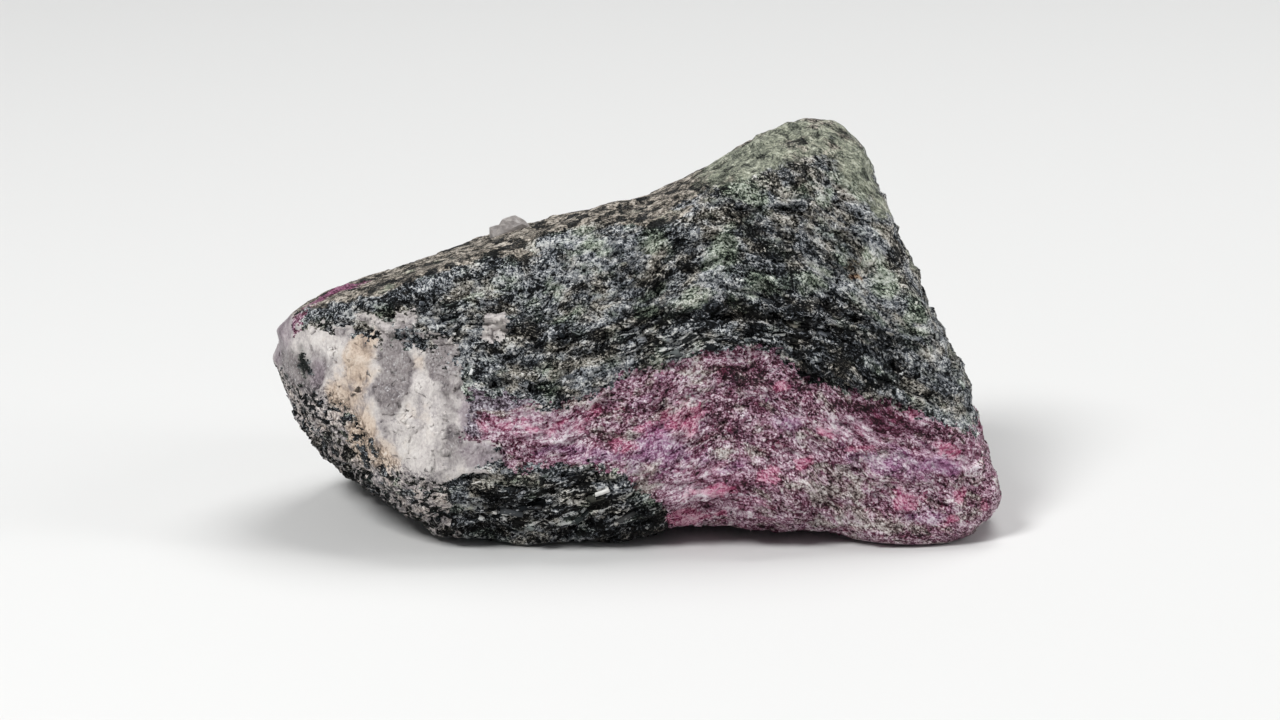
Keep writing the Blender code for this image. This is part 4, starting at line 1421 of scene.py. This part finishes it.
def add_softbox(name, place, target, size, power):
    """A softbox of a width and a height in metres."""
    lamp = bpy.data.lights.new(name, "AREA")
    lamp.shape = "RECTANGLE"
    lamp.size, lamp.size_y = size
    lamp.energy = power
    box = add_object(name, lamp)
    box.location = place
    aim(box, target)


def add_lights(settings):
    """Three softboxes and a dim, slightly blue room. Places are in metres."""
    middle = (0, 0, 0.018)
    add_softbox("key softbox", (-0.35, -0.42, 0.62), middle, (0.22, 0.22), settings.key_power)
    add_softbox("top softbox", (0.18, 0.22, 0.75), middle, (0.5, 0.4), settings.top_power)
    add_softbox("side strip", (0.62, -0.12, 0.30), middle, (0.10, 0.5), settings.side_power)
    world = bpy.data.worlds.new("studio")
    world.use_nodes = True
    sky = world.node_tree.nodes["Background"]
    sky.inputs["Color"].default_value = (0.93, 0.95, 1.0, 1)
    sky.inputs["Strength"].default_value = settings.room_light
    bpy.context.scene.world = world


def add_camera(settings):
    """A long lens in front of the stone, a little above it."""
    camera = bpy.data.cameras.new("camera")
    camera.lens = settings.lens
    camera.sensor_width = 36
    camera.clip_start = 0.01
    eye = add_object("camera", camera)
    rise = settings.camera_rise
    middle = Vector((0, 0, 0.0185))
    target = (0.00034, 0, 0.0142)
    eye.location = middle + settings.camera_distance * Vector((0, -math.cos(rise), math.sin(rise)))
    aim(eye, target)
    bpy.context.scene.camera = eye


class StoneSettings(bpy.types.PropertyGroup):
    """Sizes of the stone's surface."""

    cell_size: bpy.props.FloatProperty(
        name="Cell size", description="Width of the surface's squares", default=0.215 * MM, unit="LENGTH")
    wear: bpy.props.IntProperty(
        name="Wear", description="How many times the broken edges are worn smooth", default=20)
    relief: bpy.props.FloatProperty(
        name="Relief", description="Strength of the broken surface's lumps and ledges", default=1.0)


class StageSettings(bpy.types.PropertyGroup):
    """The floor, the lights and the camera."""

    floor_colour: bpy.props.FloatVectorProperty(
        name="Floor", description="Colour of the floor", default=(0.72, 0.72, 0.71), subtype="COLOR")
    key_power: bpy.props.FloatProperty(
        name="Key light", description="Power of the softbox at the front left", default=5.2, unit="POWER")
    top_power: bpy.props.FloatProperty(
        name="Top light", description="Power of the softbox overhead", default=3.6, unit="POWER")
    side_power: bpy.props.FloatProperty(
        name="Side light", description="Power of the strip at the right", default=1.2, unit="POWER")
    room_light: bpy.props.FloatProperty(
        name="Room light", description="Strength of the light from all round", default=0.16)
    lens: bpy.props.FloatProperty(
        name="Lens", description="Focal length of the camera, in millimetres", default=117.0)
    camera_distance: bpy.props.FloatProperty(
        name="Distance", description="From the camera to the stone's middle", default=0.40, unit="LENGTH")
    camera_rise: bpy.props.FloatProperty(
        name="Rise", description="How far the camera looks down", default=math.radians(15), unit="ROTATION")


class STONE_OT_surface(bpy.types.Operator):
    """Makes the stone's broken surface"""

    bl_idname = "stone.surface"
    bl_label = "Broken surface"

    def execute(self, context):
        for piece in make_surface(context.scene.stone_settings):
            finish_piece(piece, NODE)
        return {"FINISHED"}


class STONE_OT_grains(bpy.types.Operator):
    """Sets the crystal grains and plates into the surface"""

    bl_idname = "stone.grains"
    bl_label = "Crystal grains"

    def execute(self, context):
        for make in (black_blades, pale_grains, ruby_grains, pod_flakes, slabs, large_plates):
            finish_piece(make(), NODE)
        return {"FINISHED"}


class STONE_OT_splinter(bpy.types.Operator):
    """Makes the thin splinter that stands on the top"""

    bl_idname = "stone.splinter"
    bl_label = "Splinter"

    def execute(self, context):
        finish_piece(splinter(), NODE)
        return {"FINISHED"}


class STONE_OT_stage(bpy.types.Operator):
    """Makes the floor, the lights and the camera"""

    bl_idname = "stone.stage"
    bl_label = "Stage"

    def execute(self, context):
        settings = context.scene.stone_stage
        make_floor(settings)
        add_lights(settings)
        add_camera(settings)
        context.scene.view_settings.view_transform = "Standard"
        return {"FINISHED"}


class STONE_PT_panel(bpy.types.Panel):
    """Lists the pieces"""

    bl_label = "Ruby in zoisite"
    bl_idname = "STONE_PT_panel"
    bl_space_type = "VIEW_3D"
    bl_region_type = "UI"
    bl_category = "Ruby in zoisite"

    def draw(self, context):
        for operator in OPERATORS:
            self.layout.operator(operator.bl_idname)


OPERATORS = (STONE_OT_surface, STONE_OT_grains, STONE_OT_splinter, STONE_OT_stage)
CLASSES = (StoneSettings, StageSettings, *OPERATORS, STONE_PT_panel)


def register():
    for cls in CLASSES:
        bpy.utils.register_class(cls)
    bpy.types.Scene.stone_settings = bpy.props.PointerProperty(type=StoneSettings)
    bpy.types.Scene.stone_stage = bpy.props.PointerProperty(type=StageSettings)


def unregister():
    del bpy.types.Scene.stone_settings
    del bpy.types.Scene.stone_stage
    for cls in reversed(CLASSES):
        bpy.utils.unregister_class(cls)


def main():
    register()
    bpy.ops.stone.surface()
    bpy.ops.stone.grains()
    bpy.ops.stone.splinter()
    bpy.ops.stone.stage()
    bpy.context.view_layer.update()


if __name__ == "__main__":
    main()
